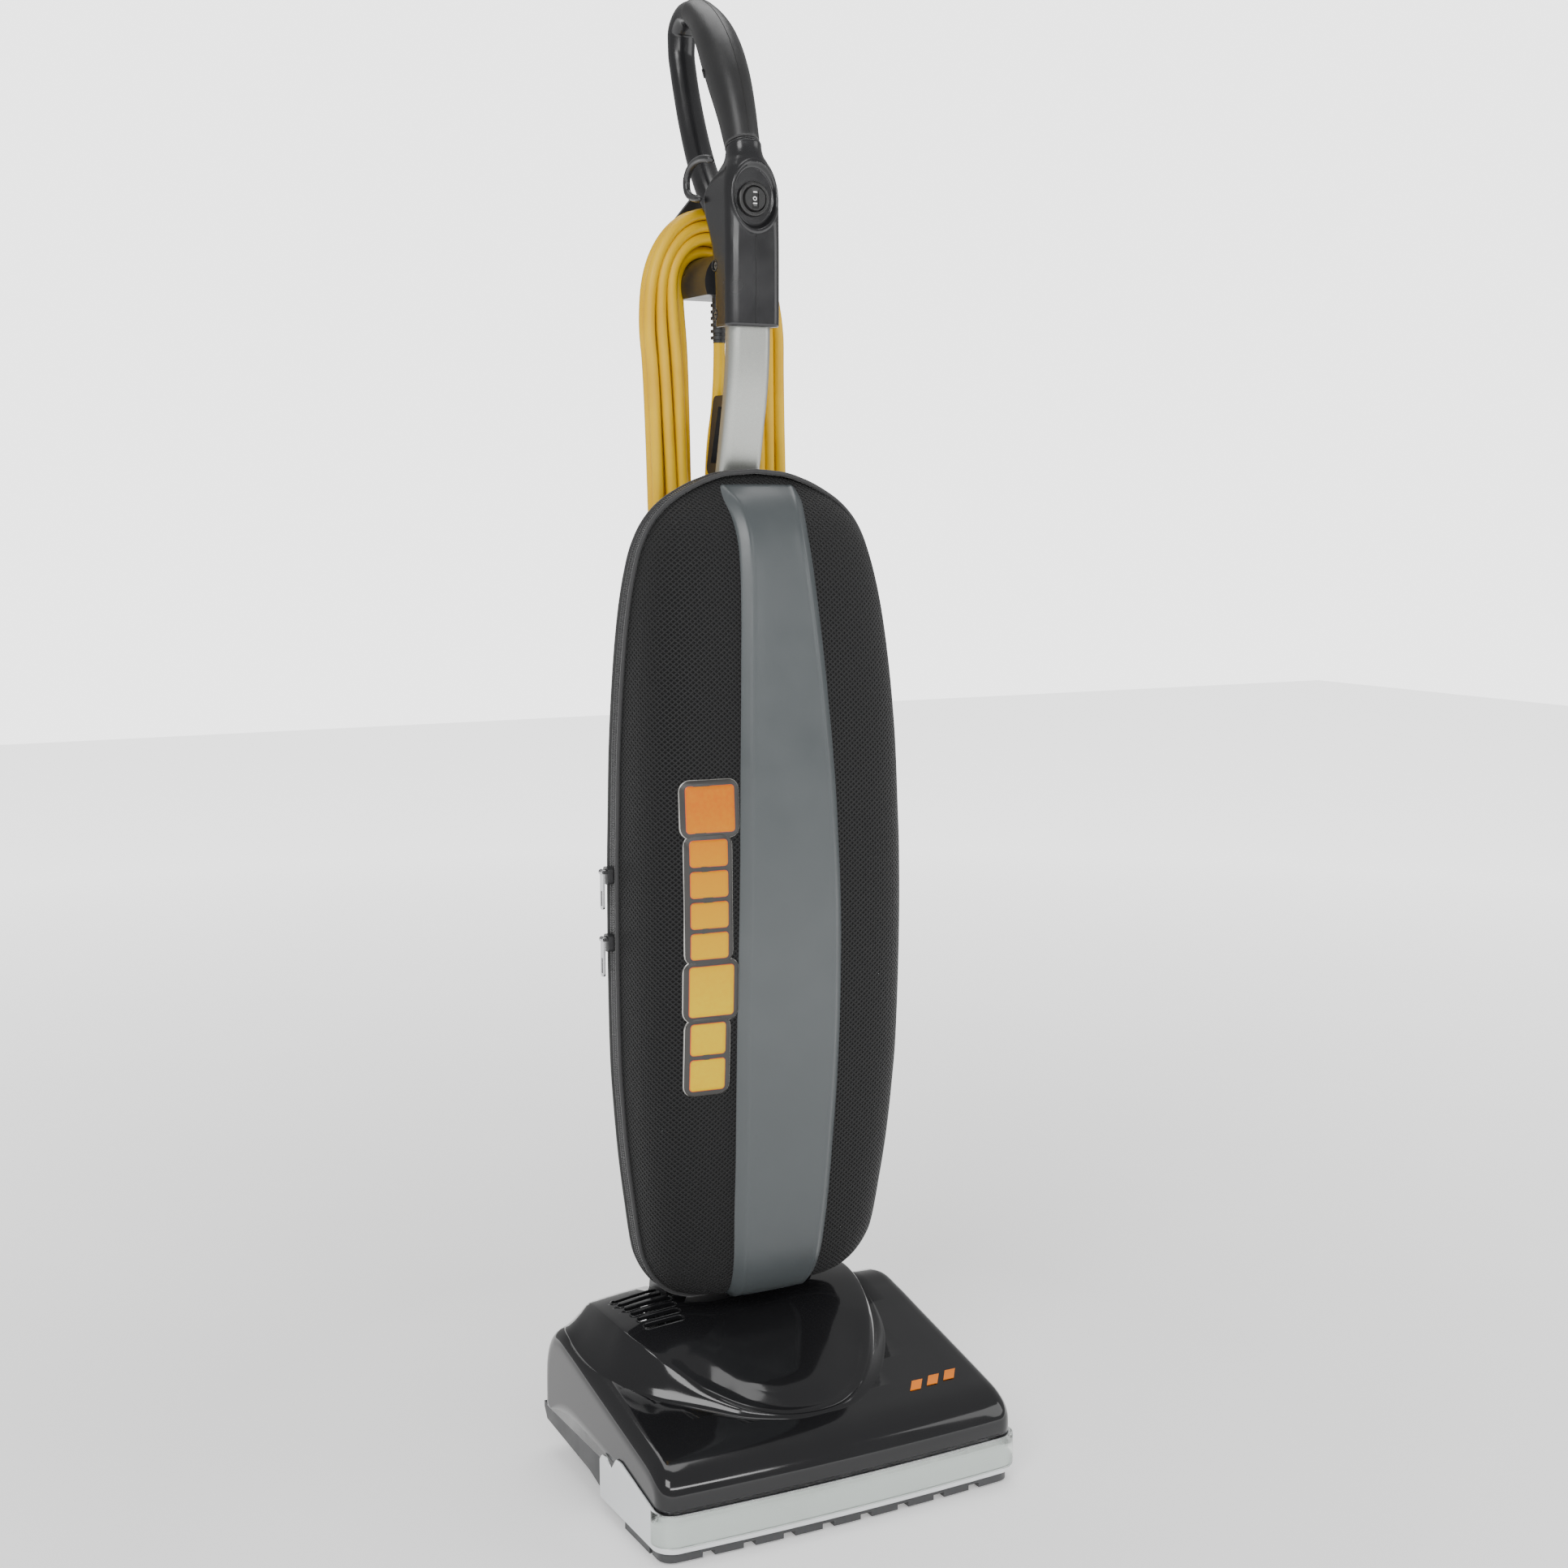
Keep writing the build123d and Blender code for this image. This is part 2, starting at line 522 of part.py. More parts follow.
def make_pedal():
    """Foot pedal that frees the handle's recline, and its pin."""
    with BuildPart() as pedal:
        prism_x([(PEDAL_Y - 5, 37), (PEDAL_Y - 5, 48), (PEDAL_Y + 9, 49), (PEDAL_Y + 46, 43),
                 (PEDAL_Y + 46, 38), (PEDAL_Y + 9, 40), (PEDAL_Y + 6, 37)], PEDAL_X - 12, PEDAL_X + 12)
        fillet(edges().filter_by(Axis.X).sort_by(Axis.Y)[-2:], 2)
        rod("X", PEDAL_X - 20, PEDAL_X + 20, (PEDAL_Y, PEDAL_Z), 2 + FIT, mode=Mode.SUBTRACT)
    save(pedal.part, "release_pedal")
    with BuildPart() as pin:
        rod("X", PEDAL_X - 19, PEDAL_X + 19, (PEDAL_Y, PEDAL_Z), 2)
        for side in (-1, 1):
            x0, x1 = sorted((PEDAL_X + side * 15.3, PEDAL_X + side * 19))
            block((x0, PEDAL_Y - 5, 23), (x1, PEDAL_Y + 5, PEDAL_Z + 6))
    save(pin.part, "pedal_bracket")


# ---------------------------------------------------------------- handle: yoke and tube
def make_yoke():
    """Cast yoke: a solid left arm, a hollow right arm that carries the dirt, and the tube's socket."""
    arm_top = 176.0
    box_top = 222.0
    box_y0, box_y1 = 40.0, 68.0
    with BuildPart() as yoke:
        for side in (-1, 1):
            x0, x1 = sorted((side * ARM_IN, side * ARM_OUT))
            rod("X", x0, x1, (PIVOT_Y, PIVOT_Z), 20)
            prism_x([(PIVOT_Y - 18, PIVOT_Z), (box_y0, 150), (box_y0, arm_top), (box_y1, arm_top),
                     (PIVOT_Y + 18, PIVOT_Z)], x0, x1)
        block((-ARM_OUT, box_y0, arm_top - 14), (ARM_OUT, box_y1, box_top))
        # dirt passage: round socket at the pivot, up the right arm, across, and out to the bag
        rod("X", ARM_IN - 1, ARM_IN + 6.5, (PIVOT_Y, PIVOT_Z), DUCT_R + 2 + FIT, mode=Mode.SUBTRACT)
        rod("X", ARM_IN, ARM_OUT - 3, (PIVOT_Y, PIVOT_Z), DUCT_R - 1, mode=Mode.SUBTRACT)
        prism_x([(PIVOT_Y - 13, PIVOT_Z), (box_y0 + 4, 152), (box_y0 + 4, arm_top + 4),
                 (box_y1 - 4, arm_top + 4), (PIVOT_Y + 13, PIVOT_Z)], ARM_IN + 7, ARM_OUT - 3,
                mode=Mode.SUBTRACT)
        block((-20, box_y0 + 4, arm_top - 8), (ARM_OUT - 3, box_y1 - 4, arm_top + 26), mode=Mode.SUBTRACT)
        rod("Y", 6, box_y0 + 5, (0, 189), DUCT_R + 2)
        rod("Y", 5, box_y0 + 6, (0, 189), DUCT_R - 1, mode=Mode.SUBTRACT)
        # left pivot bore
        rod("X", -ARM_OUT - 1, -ARM_IN + 1, (PIVOT_Y, PIVOT_Z), 7 + FIT, mode=Mode.SUBTRACT)
        # tube socket
        block((-26, TUBE_LOW_Y - 15, box_top - 14), (26, TUBE_LOW_Y + 18, box_top + 44))
        with BuildSketch(Plane.XY.offset(TUBE_Z0)):
            with Locations((0, TUBE_LOW_Y)):
                RectangleRounded(TUBE_W + 0.4, TUBE_D + 0.4, 7.2)
        extrude(amount=60, mode=Mode.SUBTRACT)
        fillet(edges().filter_by(Axis.Z).filter_by_position(Axis.Z, box_top, box_top + 40), 4)
    save(yoke.part, "handle_yoke")
    with BuildPart() as bearing:
        rod("X", -ARM_OUT - 5, -ARM_IN + 3, (PIVOT_Y, PIVOT_Z), 7)
        block((-ARM_OUT - 8, PIVOT_Y - 12, 23), (-ARM_OUT - 2, PIVOT_Y + 12, PIVOT_Z + 10))
        rod("X", -ARM_OUT - 9, -ARM_OUT - 1, (WHEEL_Y, WHEEL_R), AXLE_R + CLEAR, mode=Mode.SUBTRACT)
    save(bearing.part, "pivot_bracket")


def tube_path():
    """Centre line of the handle tube, in the YZ plane."""
    FilletPolyline(
        (0, TUBE_LOW_Y, TUBE_Z0),
        (0, TUBE_LOW_Y, BEND_LOW_Z),
        (0, TUBE_TOP_Y, BEND_HIGH_Z),
        (0, TUBE_TOP_Y, TUBE_Z1),
        radius=250,
    )


def make_tube():
    """Bent aluminium tube of rounded rectangular section."""
    with BuildPart() as tube:
        for cut, mode in ((0.0, Mode.ADD), (TUBE_T, Mode.SUBTRACT)):
            with BuildLine() as path:
                tube_path()
            with BuildSketch(Plane.XY.offset(TUBE_Z0)):
                with Locations((0, TUBE_LOW_Y)):
                    RectangleRounded(TUBE_W - 2 * cut, TUBE_D - 2 * cut, 7 - cut)
            sweep(path=path.line, mode=mode)
    save(tube.part, "handle_tube")


# ---------------------------------------------------------------- handle: grip housing
def loop_path():
    """Centre line of the D-shaped loop, from the top of the housing round to its back."""
    start = (0, 30, 1062)
    grip = TangentArc(start, (0, 88, 1161), tangent=(0, 0.31, 0.95))
    crown = TangentArc(grip @ 1, (0, 112, 1186), tangent=grip % 1)
    bend = TangentArc(crown @ 1, (0, 139, 1169), tangent=crown % 1)
    leg = TangentArc(bend @ 1, (0, 92, 1055), tangent=bend % 1)
    TangentArc(leg @ 1, (0, 54, 1008), tangent=leg % 1)
    return grip


# side view of the switch housing, as (y, z)
HOUSING = [(10, HOUSING_Z0), (10, 1052), (13, 1066), (18, 1072), (43, 1064), (56, 1046), (66, 1030),
           (60, 1016), (46, 990), (41, 960), (40, HOUSING_Z0)]


def make_housing():
    """Two moulded halves of switch housing and loop, parted at X = 0, and the soft grip."""
    with BuildPart() as whole:
        prism_x(HOUSING, -HOUSING_HALF, HOUSING_HALF)
        fillet(edges().filter_by(Axis.Z).filter_by_position(Axis.Y, 9, 11), 10)
        with BuildLine() as path:
            loop_path()
        with BuildSketch(Plane(origin=path.line @ 0, x_dir=(1, 0, 0), z_dir=path.line % 0)):
            Ellipse(CORE_A, CORE_B)
        sweep(path=path.line)
        # tube socket, switch cavity and the oval recess round the switch
        with BuildSketch(Plane.XY.offset(HOUSING_Z0)):
            with Locations((0, TUBE_TOP_Y)):
                RectangleRounded(TUBE_W + 0.3, TUBE_D + 0.3, 7.1)
        extrude(amount=TUBE_Z1 - HOUSING_Z0 + 1, mode=Mode.SUBTRACT)
        block((-17, 20, 1000), (17, 36, 1048), mode=Mode.SUBTRACT)
        block((-10, 20, TUBE_Z1), (10, 34, 1002), mode=Mode.SUBTRACT)
        with BuildSketch(Plane.XZ.offset(-SWITCH_FACE_Y)):
            with Locations((0, SWITCH_Z + 2)):
                SlotOverall(56, 34, rotation=90)
        extrude(amount=20, mode=Mode.SUBTRACT)
        rod("Y", SWITCH_FACE_Y - 1, 21, (0, SWITCH_Z), 11.5, mode=Mode.SUBTRACT)
    for keep, word in ((Keep.TOP, "right"), (Keep.BOTTOM, "left")):
        with BuildPart() as half:
            add(whole.part)
            split(bisect_by=Plane.YZ, keep=keep)
            if word == "left":
                for z in (940.0, 978.0):
                    rod("X", -30, -19, (36.5, z), 2.6, mode=Mode.SUBTRACT)
        save(half.part, f"handle_shell_{word}")
    with BuildPart() as grip:
        with BuildLine() as path:
            start = (0, 33.4, 1072)
            sleeve = TangentArc(start, (0, 88, 1161), tangent=(0, 0.36, 0.93))
        for a, b, mode in ((GRIP_A, GRIP_B, Mode.ADD), (CORE_A + 0.7, CORE_B + 0.7, Mode.SUBTRACT)):
            with BuildSketch(Plane(origin=sleeve @ 0, x_dir=(1, 0, 0), z_dir=sleeve % 0)):
                Ellipse(a, b)
            sweep(path=path.line, mode=mode)
        fillet(edges().group_by(SortBy.LENGTH)[-1], 2)
    save(grip.part, "soft_grip")


def make_switch():
    """Round three-position rocker in a bezel, on its switch body."""
    with BuildPart() as bezel:
        rod("Y", SWITCH_FACE_Y - 3.5, SWITCH_FACE_Y, (0, SWITCH_Z), 13.5)
        fillet(edges().filter_by(GeomType.CIRCLE).group_by(Axis.Y)[0], 1.5)
        rod("Y", SWITCH_FACE_Y, 20, (0, SWITCH_Z), 11.4)
        rod("Y", SWITCH_FACE_Y - 5, 21, (0, SWITCH_Z), 10.4, mode=Mode.SUBTRACT)
    save(bezel.part, "switch_bezel")
    with BuildPart() as rocker:
        rod("Y", SWITCH_FACE_Y - 5, SWITCH_FACE_Y + 3.5, (0, SWITCH_Z), 9.8)
        with Locations((0, SWITCH_FACE_Y, SWITCH_Z)):
            Sphere(10.2, mode=Mode.INTERSECT)
        rod("X", -3, 3, (SWITCH_FACE_Y - 34.5, SWITCH_Z), 30.5, mode=Mode.SUBTRACT)
    save(rocker.part, "switch_rocker")
    with BuildPart() as body:
        block((-12, 22, SWITCH_Z - 14), (12, 35, SWITCH_Z + 14))
        for z in (-8, 0, 8):
            block((-3, 24, SWITCH_Z + z - 0.4), (3, 35.8, SWITCH_Z + z + 0.4))
    save(body.part, "switch_body")


def make_housing_screws():
    """Four cross-head screws: two in the housing and two in the yoke's socket."""
    with BuildPart() as screws:
        for z in (940.0, 978.0):
            rod("X", -22.5, -19.2, (36.5, z), 2.5)
            block((-23.2, 36, z - 1.6), (-22.0, 37, z + 1.6), mode=Mode.SUBTRACT)
            block((-23.2, 34.9, z - 0.5), (-22.0, 38.1, z + 0.5), mode=Mode.SUBTRACT)
    save(screws.part, "housing_screws")


# ---------------------------------------------------------------- handle: cord hooks, ring, carry handle
def saddle(z, up, y0, y1, mode=Mode.ADD):
    """Half-round support for the hank's bend; up is 1 for the top hook and -1 for the bottom one."""
    with BuildPart() as bar:
        rod("Y", y0, y1, (0, z), SADDLE_R)
        z0, z1 = sorted((z - up * 10, z - up * 60))
        block((-60, y0 - 1, z0), (60, y1 + 1, z1), mode=Mode.SUBTRACT)
    add(bar.part, mode=mode)


def retainer(z, up, y0, y1):
    """Shield-shaped plate that keeps the hank on its saddle."""
    with BuildSketch(Plane.XZ.offset(-y1)) as shield:
        with BuildLine():
            Polyline((-10, z - up * 9), (-12, z + up * 20), (-27, z + up * 46), (-24, z + up * 54),
                     (-8, z + up * 73), (8, z + up * 73), (24, z + up * 54), (27, z + up * 46),
                     (12, z + up * 20), (10, z - up * 9), close=True)
        make_face()
        fillet(vertices(), 4)
    extrude(shield.sketch, amount=y1 - y0)


def make_cord_hooks():
    """Outlet block with the upper saddle, its swivelling retainer, and the fixed lower hook."""
    with BuildPart() as outlet:
        saddle(HANK_TOP_Z, 1, 52.5, HANK_Y1 + 1)
        prism_x([(41, 958.5), (53, 958.5), (53, 988), (46.5, 988)], -14, 14)
        prism_x(HOUSING, -HOUSING_HALF - 1, HOUSING_HALF + 1, mode=Mode.SUBTRACT)
        rod("Y", HANK_Y1 - 8, HANK_Y1 + 2, (0, HANK_TOP_Z), 3, mode=Mode.SUBTRACT)
    save(outlet.part, "cord_outlet_block")
    with BuildPart() as swivel:
        retainer(HANK_TOP_Z, 1, HANK_Y1 + 1.4, HANK_Y1 + 6)
        rod("Y", HANK_Y1 - 7, HANK_Y1 + 2, (0, HANK_TOP_Z), 3 - FIT)
    save(swivel.part, "cord_hook_upper")
    with BuildPart() as lower:
        back = TUBE_LOW_Y + TUBE_D / 2
        saddle(HANK_LOW_Z, -1, back + 0.05, HANK_Y1 + 1)
        retainer(HANK_LOW_Z, -1, HANK_Y1 + 1, HANK_Y1 + 5.6)
    save(lower.part, "cord_hook_lower")


def make_cord_ring():
    """Open ring of round bar on the left of the housing, through which the cord is led."""
    x = -HOUSING_HALF - 3.2
    with BuildPart() as ring:
        with BuildLine() as path:
            top = Line((x, 42, 1059), (x, 88, 1062))
            nose = TangentArc(top @ 1, (x, 90, 1033), tangent=top % 1)
            Line(nose @ 1, nose @ 1 + (nose % 1) * 12)
        with BuildSketch(Plane(origin=path.line @ 0, x_dir=(1, 0, 0), z_dir=path.line % 0)):
            Circle(3)
        sweep(path=path.line)
        rod("X", x, -HOUSING_HALF + 0.0, (46, 1056.5), 2.4)
    save(ring.part, "cord_ring")


def make_carry_handle():
    """Finger bar on the back of the tube, at its bend."""
    lean = (TUBE_LOW_Y - TUBE_TOP_Y) / (BEND_HIGH_Z - BEND_LOW_Z)
    z0, z1 = 815.0, 878.0

    def tube_back(z):
        return TUBE_LOW_Y - (z - BEND_LOW_Z) * lean + TUBE_D / 2 + 0.3

    low, high = tube_back(z0), tube_back(z1)
    with BuildPart() as bar:
        prism_x([(low, z0), (high, z1), (high + 28, z1), (low + 28, z0)], -10, 10)
        fillet(edges().filter_by(Axis.X).sort_by(Axis.Y)[-2:], 6)
        prism_x([(low - 1, z0 + 9), (high - 1, z1 - 9), (high + 19, z1 - 9), (low + 19, z0 + 9)], -11, 11,
                mode=Mode.SUBTRACT)
    save(bar.part, "carry_handle")


# ---------------------------------------------------------------- bag housing
# half of the seam's outline as fractions: x of the half width, z of the height, both ways from its
# widest point
WIDEST = (1, 0.479)
OUTLINE_UP = [(0.943, 0.781), (0.82, 0.909), (0.574, 0.969), (0, 1)]
OUTLINE_DOWN = [(0.967, 0.230), (0.869, 0.0806), (0.754, 0.0254), (0.562, 0.0037), (0, 0)]
# y of each level of the front shell, with its half width, lowest and highest point
LEVELS = [(20, 122, 146, 816), (0, 120, 147, 798), (-20, 115, 170, 760), (-34, 104, 225, 690),
          (-41, 84, 305, 615), (-46, 58, 385, 540)]


def bag_outline(half, low, high):
    """Egg-shaped outline of tangent arcs in the current sketch, half wide each way, from low to high."""
    with BuildLine() as edge:
        for way, points in ((1, OUTLINE_UP), (-1, OUTLINE_DOWN)):
            here = (WIDEST[0] * half, low + (high - low) * WIDEST[1])
            heading = (0, way)
            for x, z in points:
                arc = TangentArc(here, (x * half, low + (high - low) * z), tangent=heading)
                here, heading = arc @ 1, arc % 1
        mirror(about=Plane.YZ)
    make_face(edge.edges())


def dome(inset, mode=Mode.ADD):
    """The front shell's volume, shrunk by inset."""
    with BuildPart() as volume:
        for y, half, low, high in LEVELS:
            first = y == LEVELS[0][0]
            level_y = y + (0 if first else inset)
            with BuildSketch(Plane.XZ.offset(-level_y)):
                bag_outline(half - inset, low + inset, high - inset)
        loft()
    add(volume.part, mode=mode)


def make_front_shell():
    """Moulded front shell of the bag housing, open at the back."""
    with BuildPart() as shell:
        dome(0)
        dome(SHELL_T, mode=Mode.SUBTRACT)
        block((-200, SEAM_Y - CLEAR, 0), (200, SEAM_Y + 5, 900), mode=Mode.SUBTRACT)
    save(shell.part, "bag_front_shell")


# front line of the raised centre panel, as (y, z), from its lower end to its upper end
SPINE = [(-9, 148), (-26, 165), (-37, 205), (-46, 300), (-53.5, 420), (-54, 480), (-48, 600), (-37, 705),
         (-27, 760), (-10, 792), (6, 803)]
SPINE_HALF = 42.0


def make_spine():
    """Raised centre panel over the front shell."""
    with BuildPart() as spine:
        with BuildSketch(Plane.YZ.offset(-SPINE_HALF)):
            with BuildLine():
                Spline(*SPINE)
                Polyline(SPINE[-1], (16, 803), (16, 148), SPINE[0])
            make_face()
        extrude(amount=2 * SPINE_HALF)
        dome(-0.3, mode=Mode.SUBTRACT)
    save(spine.part, "spine_panel")


def make_plaque():
    """Plain plaque on the left of the front shell, following its surface."""
    with BuildPart() as plaque:
        with BuildSketch(Plane.XZ.offset(-10)):
            with Locations((-74, 455)):
                RectangleRounded(38, 246, 12)
        extrude(amount=80)
        dome(-1.7, mode=Mode.INTERSECT)
        dome(-0.3, mode=Mode.SUBTRACT)
    save(plaque.part, "shell_plaque")


def seam_ring(y0, y1, inner, outer):
    """A band round the seam's outline between two offsets from it."""
    _, half, low, high = LEVELS[0]
    for grow, mode in ((outer, Mode.ADD), (inner, Mode.SUBTRACT)):
        with BuildSketch(Plane.XZ.offset(-y1)) as outline:
            bag_outline(half + grow, low - grow, high + grow)
        extrude(outline.sketch, amount=y1 - y0, mode=mode)


def make_zipper():
    """Zipper tapes on both shells, two sliders and their pulls."""
    with BuildPart() as front:
        seam_ring(SEAM_Y - 6, SEAM_Y - CLEAR, 0.3, TAPE_T)
        dome(-0.1, mode=Mode.SUBTRACT)
    save(front.part, "zipper_tape_front")
    with BuildPart() as rear:
        seam_ring(SEAM_Y + CLEAR, SEAM_Y + 6, 0.3, TAPE_T)
    save(rear.part, "zipper_tape_rear")
    edge = LEVELS[0][1] + TAPE_T + 0.9
    for word, z in (("upper", 500.0), ("lower", 446.0)):
        with BuildPart() as slider:
            block((-edge - 5, SEAM_Y - 5, z - 7), (-edge, SEAM_Y + 5, z + 7))
            fillet(edges().filter_by(Axis.X), 3)
            rod("Y", SEAM_Y - 4.5, SEAM_Y + 4.5, (-edge - 7.6, z + 3), 1)
            for side in (-1, 1):
                y0, y1 = sorted((SEAM_Y + side * 3.2, SEAM_Y + side * 4.5))
                block((-edge - 8.4, y0, z + 1.8), (-edge - 4, y1, z + 4.2))
        save(slider.part, f"zip_slider_{word}")
        with BuildPart() as pull:
            block((-edge - 8.5, SEAM_Y - 3, z - 27), (-edge - 6.8, SEAM_Y + 3, z + 3))
            fillet(edges().filter_by(Axis.X).group_by(Axis.Z)[0], 2.4)
            rod("Y", SEAM_Y - 3, SEAM_Y + 3, (-edge - 7.6, z + 3), 2.2)
            block((-edge - 9, SEAM_Y - 1.4, z - 24), (-edge - 5, SEAM_Y + 1.4, z - 12), mode=Mode.SUBTRACT)
            rod("Y", SEAM_Y - 4, SEAM_Y + 4, (-edge - 7.6, z + 3), 1 + FIT, mode=Mode.SUBTRACT)
        save(pull.part, f"zip_pull_{word}")


def make_back_shell():
    """Shallow rear shell that is bolted to the tube and carries the bag."""
    _, half, low, high = LEVELS[0]
    with BuildPart() as shell:
        with BuildSketch(Plane.XZ.offset(-SEAM_Y - BACK_DEPTH)):
            bag_outline(half, low, high)
        extrude(amount=BACK_DEPTH - CLEAR)
        with BuildSketch(Plane.XZ.offset(-SEAM_Y - BACK_DEPTH + 3)):
            bag_outline(half - SHELL_T, low + SHELL_T, high - SHELL_T)
        extrude(amount=BACK_DEPTH, mode=Mode.SUBTRACT)
        rod("Y", SEAM_Y, SEAM_Y + BACK_DEPTH + 1, (0, 189), DUCT_R + 2.3, mode=Mode.SUBTRACT)
        # pads that stand it off the tube
        for z in (300.0, 700.0):
            block((-15, SEAM_Y + BACK_DEPTH - 1, z - 14), (15, TUBE_LOW_Y - TUBE_D / 2, z + 14))
    save(shell.part, "bag_back_shell")


def make_filter_bag():
    """Paper bag with its stiff collar on the dirt outlet."""
    with BuildPart() as bag:
        for y, half, low, high in ((4, 98, 230, 770), (-12, 90, 240, 730), (-24, 66, 300, 660)):
            with BuildSketch(Plane.XZ.offset(-y)):
                bag_outline(half, low, high)
        loft()
    save(bag.part, "filter_bag")
    with BuildPart() as collar:
        block((-34, 12, 158), (34, 17, 222))
        rod("Y", 11, 18, (0, 189), DUCT_R + 2.05, mode=Mode.SUBTRACT)
    save(collar.part, "bag_collar")


# ---------------------------------------------------------------- power cord
def make_strain_relief():
    """Ribbed sleeve where the cord leaves the outlet block."""
    with BuildPart() as sleeve:
        with Locations((0, RELIEF_Y, (RELIEF_TOP + RELIEF_END) / 2)):
            Cone(4.9, 5.8, RELIEF_TOP - RELIEF_END)
        for i in range(6):
            z = RELIEF_END + 3 + 5.2 * i
            rod("Z", z, z + 2.4, (0, RELIEF_Y), 7)
    save(sleeve.part, "strain_relief")


# the lead's route from the strain relief down to the hank
LEAD = [(0, RELIEF_Y, RELIEF_END), (0, RELIEF_Y, 882), (-1, 90, 836), (1, 96, 790), (2, 97, 735),
        (-2, 98, 680), (-4, 97, 628), (2, 97.5, 582), (16, 97.5, 545), (32, 97.5, 512)]
# the short end from the hank's rear face to the plug
PLUG_X, PLUG_Y, PLUG_Z = -45.0, 119.0, 650.0
TAIL = [(-32, 103, 562), (-36, 108, 592), (-42, 115.5, 621), (PLUG_X, PLUG_Y, PLUG_Z)]


def corner_radii(points):
    """The largest sensible arc at each corner: 0.45 of the shorter run over the tangent of half the turn."""
    radii = []
    for before, here, after in zip(points, points[1:], points[2:]):
        first = Vector(*here) - Vector(*before)
        second = Vector(*after) - Vector(*here)
        turn = math.radians(first.get_angle(second))
        radii.append(0.45 * min(first.length, second.length) / math.tan(turn / 2))
    return radii


def make_cord():
    """The lead, the hank on the two hooks, and the plug."""
    with BuildPart() as lead:
        length = 0
        for route in (LEAD, TAIL):
            radii = corner_radii(route)
            print("cord radii", [round(r) for r in radii])
            with BuildLine() as path:
                FilletPolyline(*route, radius=radii)
            with BuildSketch(Plane(origin=path.line @ 0, z_dir=path.line % 0)):
                Circle(CORD_D / 2)
            sweep(path=path.line)
            length += path.wire().length
    print("cord volume over section times length", lead.part.volume / (math.pi * CORD_D ** 2 / 4 * length))
    save(lead.part, "cord_lead")
    with BuildPart() as hank:
        with BuildSketch(Plane.XZ.offset(-HANK_Y1)):
            with Locations((0, HANK_SHOULDER_Z)):
                Ellipse(HANK_R, HANK_TOP_Z + HANK_R - HANK_SHOULDER_Z)
            with Locations((0, (HANK_SHOULDER_Z + HANK_LOW_Z) / 2)):
                Rectangle(2 * HANK_R, HANK_SHOULDER_Z - HANK_LOW_Z)
            with Locations((0, HANK_LOW_Z)):
                Circle(HANK_R)
            with Locations((0, (HANK_TOP_Z + HANK_LOW_Z) / 2)):
                SlotCenterToCenter(HANK_TOP_Z - HANK_LOW_Z, 2 * SADDLE_R + 1, rotation=90, mode=Mode.SUBTRACT)
        extrude(amount=HANK_Y1 - HANK_Y0)
        fillet(edges().group_by(Axis.Y)[0] + edges().group_by(Axis.Y)[-1], 4)
    save(hank.part, "cord_hank")
    with BuildPart() as plug:
        # body, neck at the cord's end, two blades and the earth pin
        for z, wide, deep in ((PLUG_Z, 13, 13), (PLUG_Z + 30, 27, 20)):
            with BuildSketch(Plane.XY.offset(z)):
                with Locations((PLUG_X, PLUG_Y)):
                    RectangleRounded(wide, deep, 6)
        loft()
        extrude(faces().sort_by(Axis.Z)[-1], amount=24)
        for side in (-1, 1):
            x = PLUG_X + side * 6.35
            block((x - 0.75, PLUG_Y - 6, PLUG_Z + 53), (x + 0.75, PLUG_Y + 0.3, PLUG_Z + 70))
        rod("Z", PLUG_Z + 53, PLUG_Z + 73, (PLUG_X, PLUG_Y + 6), 2.4)
    save(plug.part, "cord_plug")


if __name__ == "__main__":
    make_hood()
    make_hood_badge()
    make_base_pan()
    make_nozzle_guard()
    make_furniture_bumper()
    make_glide_strip()
    make_brush_cover()
    make_motor()
    make_rotor()
    make_belt()
    make_fan_housing()
    make_ducts()
    make_brush()
    make_wheels()
    make_pedal()
    make_yoke()
    make_tube()
    make_housing()
    make_switch()
    make_housing_screws()
    make_cord_hooks()
    make_cord_ring()
    make_carry_handle()
    make_front_shell()
    make_spine()
    make_plaque()
    make_zipper()
    make_back_shell()
    make_filter_bag()
    make_strain_relief()
    make_cord()
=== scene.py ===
"""Looks of the upright vacuum cleaner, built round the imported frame. Metres; +Z up, the nozzle faces -Y."""
import math
import random

import bmesh
import bpy
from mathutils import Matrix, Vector


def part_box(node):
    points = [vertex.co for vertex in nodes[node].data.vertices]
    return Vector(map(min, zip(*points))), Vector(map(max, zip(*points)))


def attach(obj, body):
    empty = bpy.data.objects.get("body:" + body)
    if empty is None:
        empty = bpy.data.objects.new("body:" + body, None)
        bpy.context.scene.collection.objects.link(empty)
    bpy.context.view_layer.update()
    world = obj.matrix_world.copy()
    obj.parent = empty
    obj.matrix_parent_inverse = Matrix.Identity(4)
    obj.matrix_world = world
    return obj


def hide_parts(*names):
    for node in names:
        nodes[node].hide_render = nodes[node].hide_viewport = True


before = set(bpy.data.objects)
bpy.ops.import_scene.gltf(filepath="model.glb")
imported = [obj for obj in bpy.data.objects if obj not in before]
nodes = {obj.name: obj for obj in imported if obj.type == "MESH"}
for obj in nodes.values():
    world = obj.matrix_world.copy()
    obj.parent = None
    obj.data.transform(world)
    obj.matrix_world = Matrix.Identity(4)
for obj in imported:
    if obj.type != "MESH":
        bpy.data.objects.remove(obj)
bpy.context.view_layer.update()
random.seed(7)
MM = 0.001


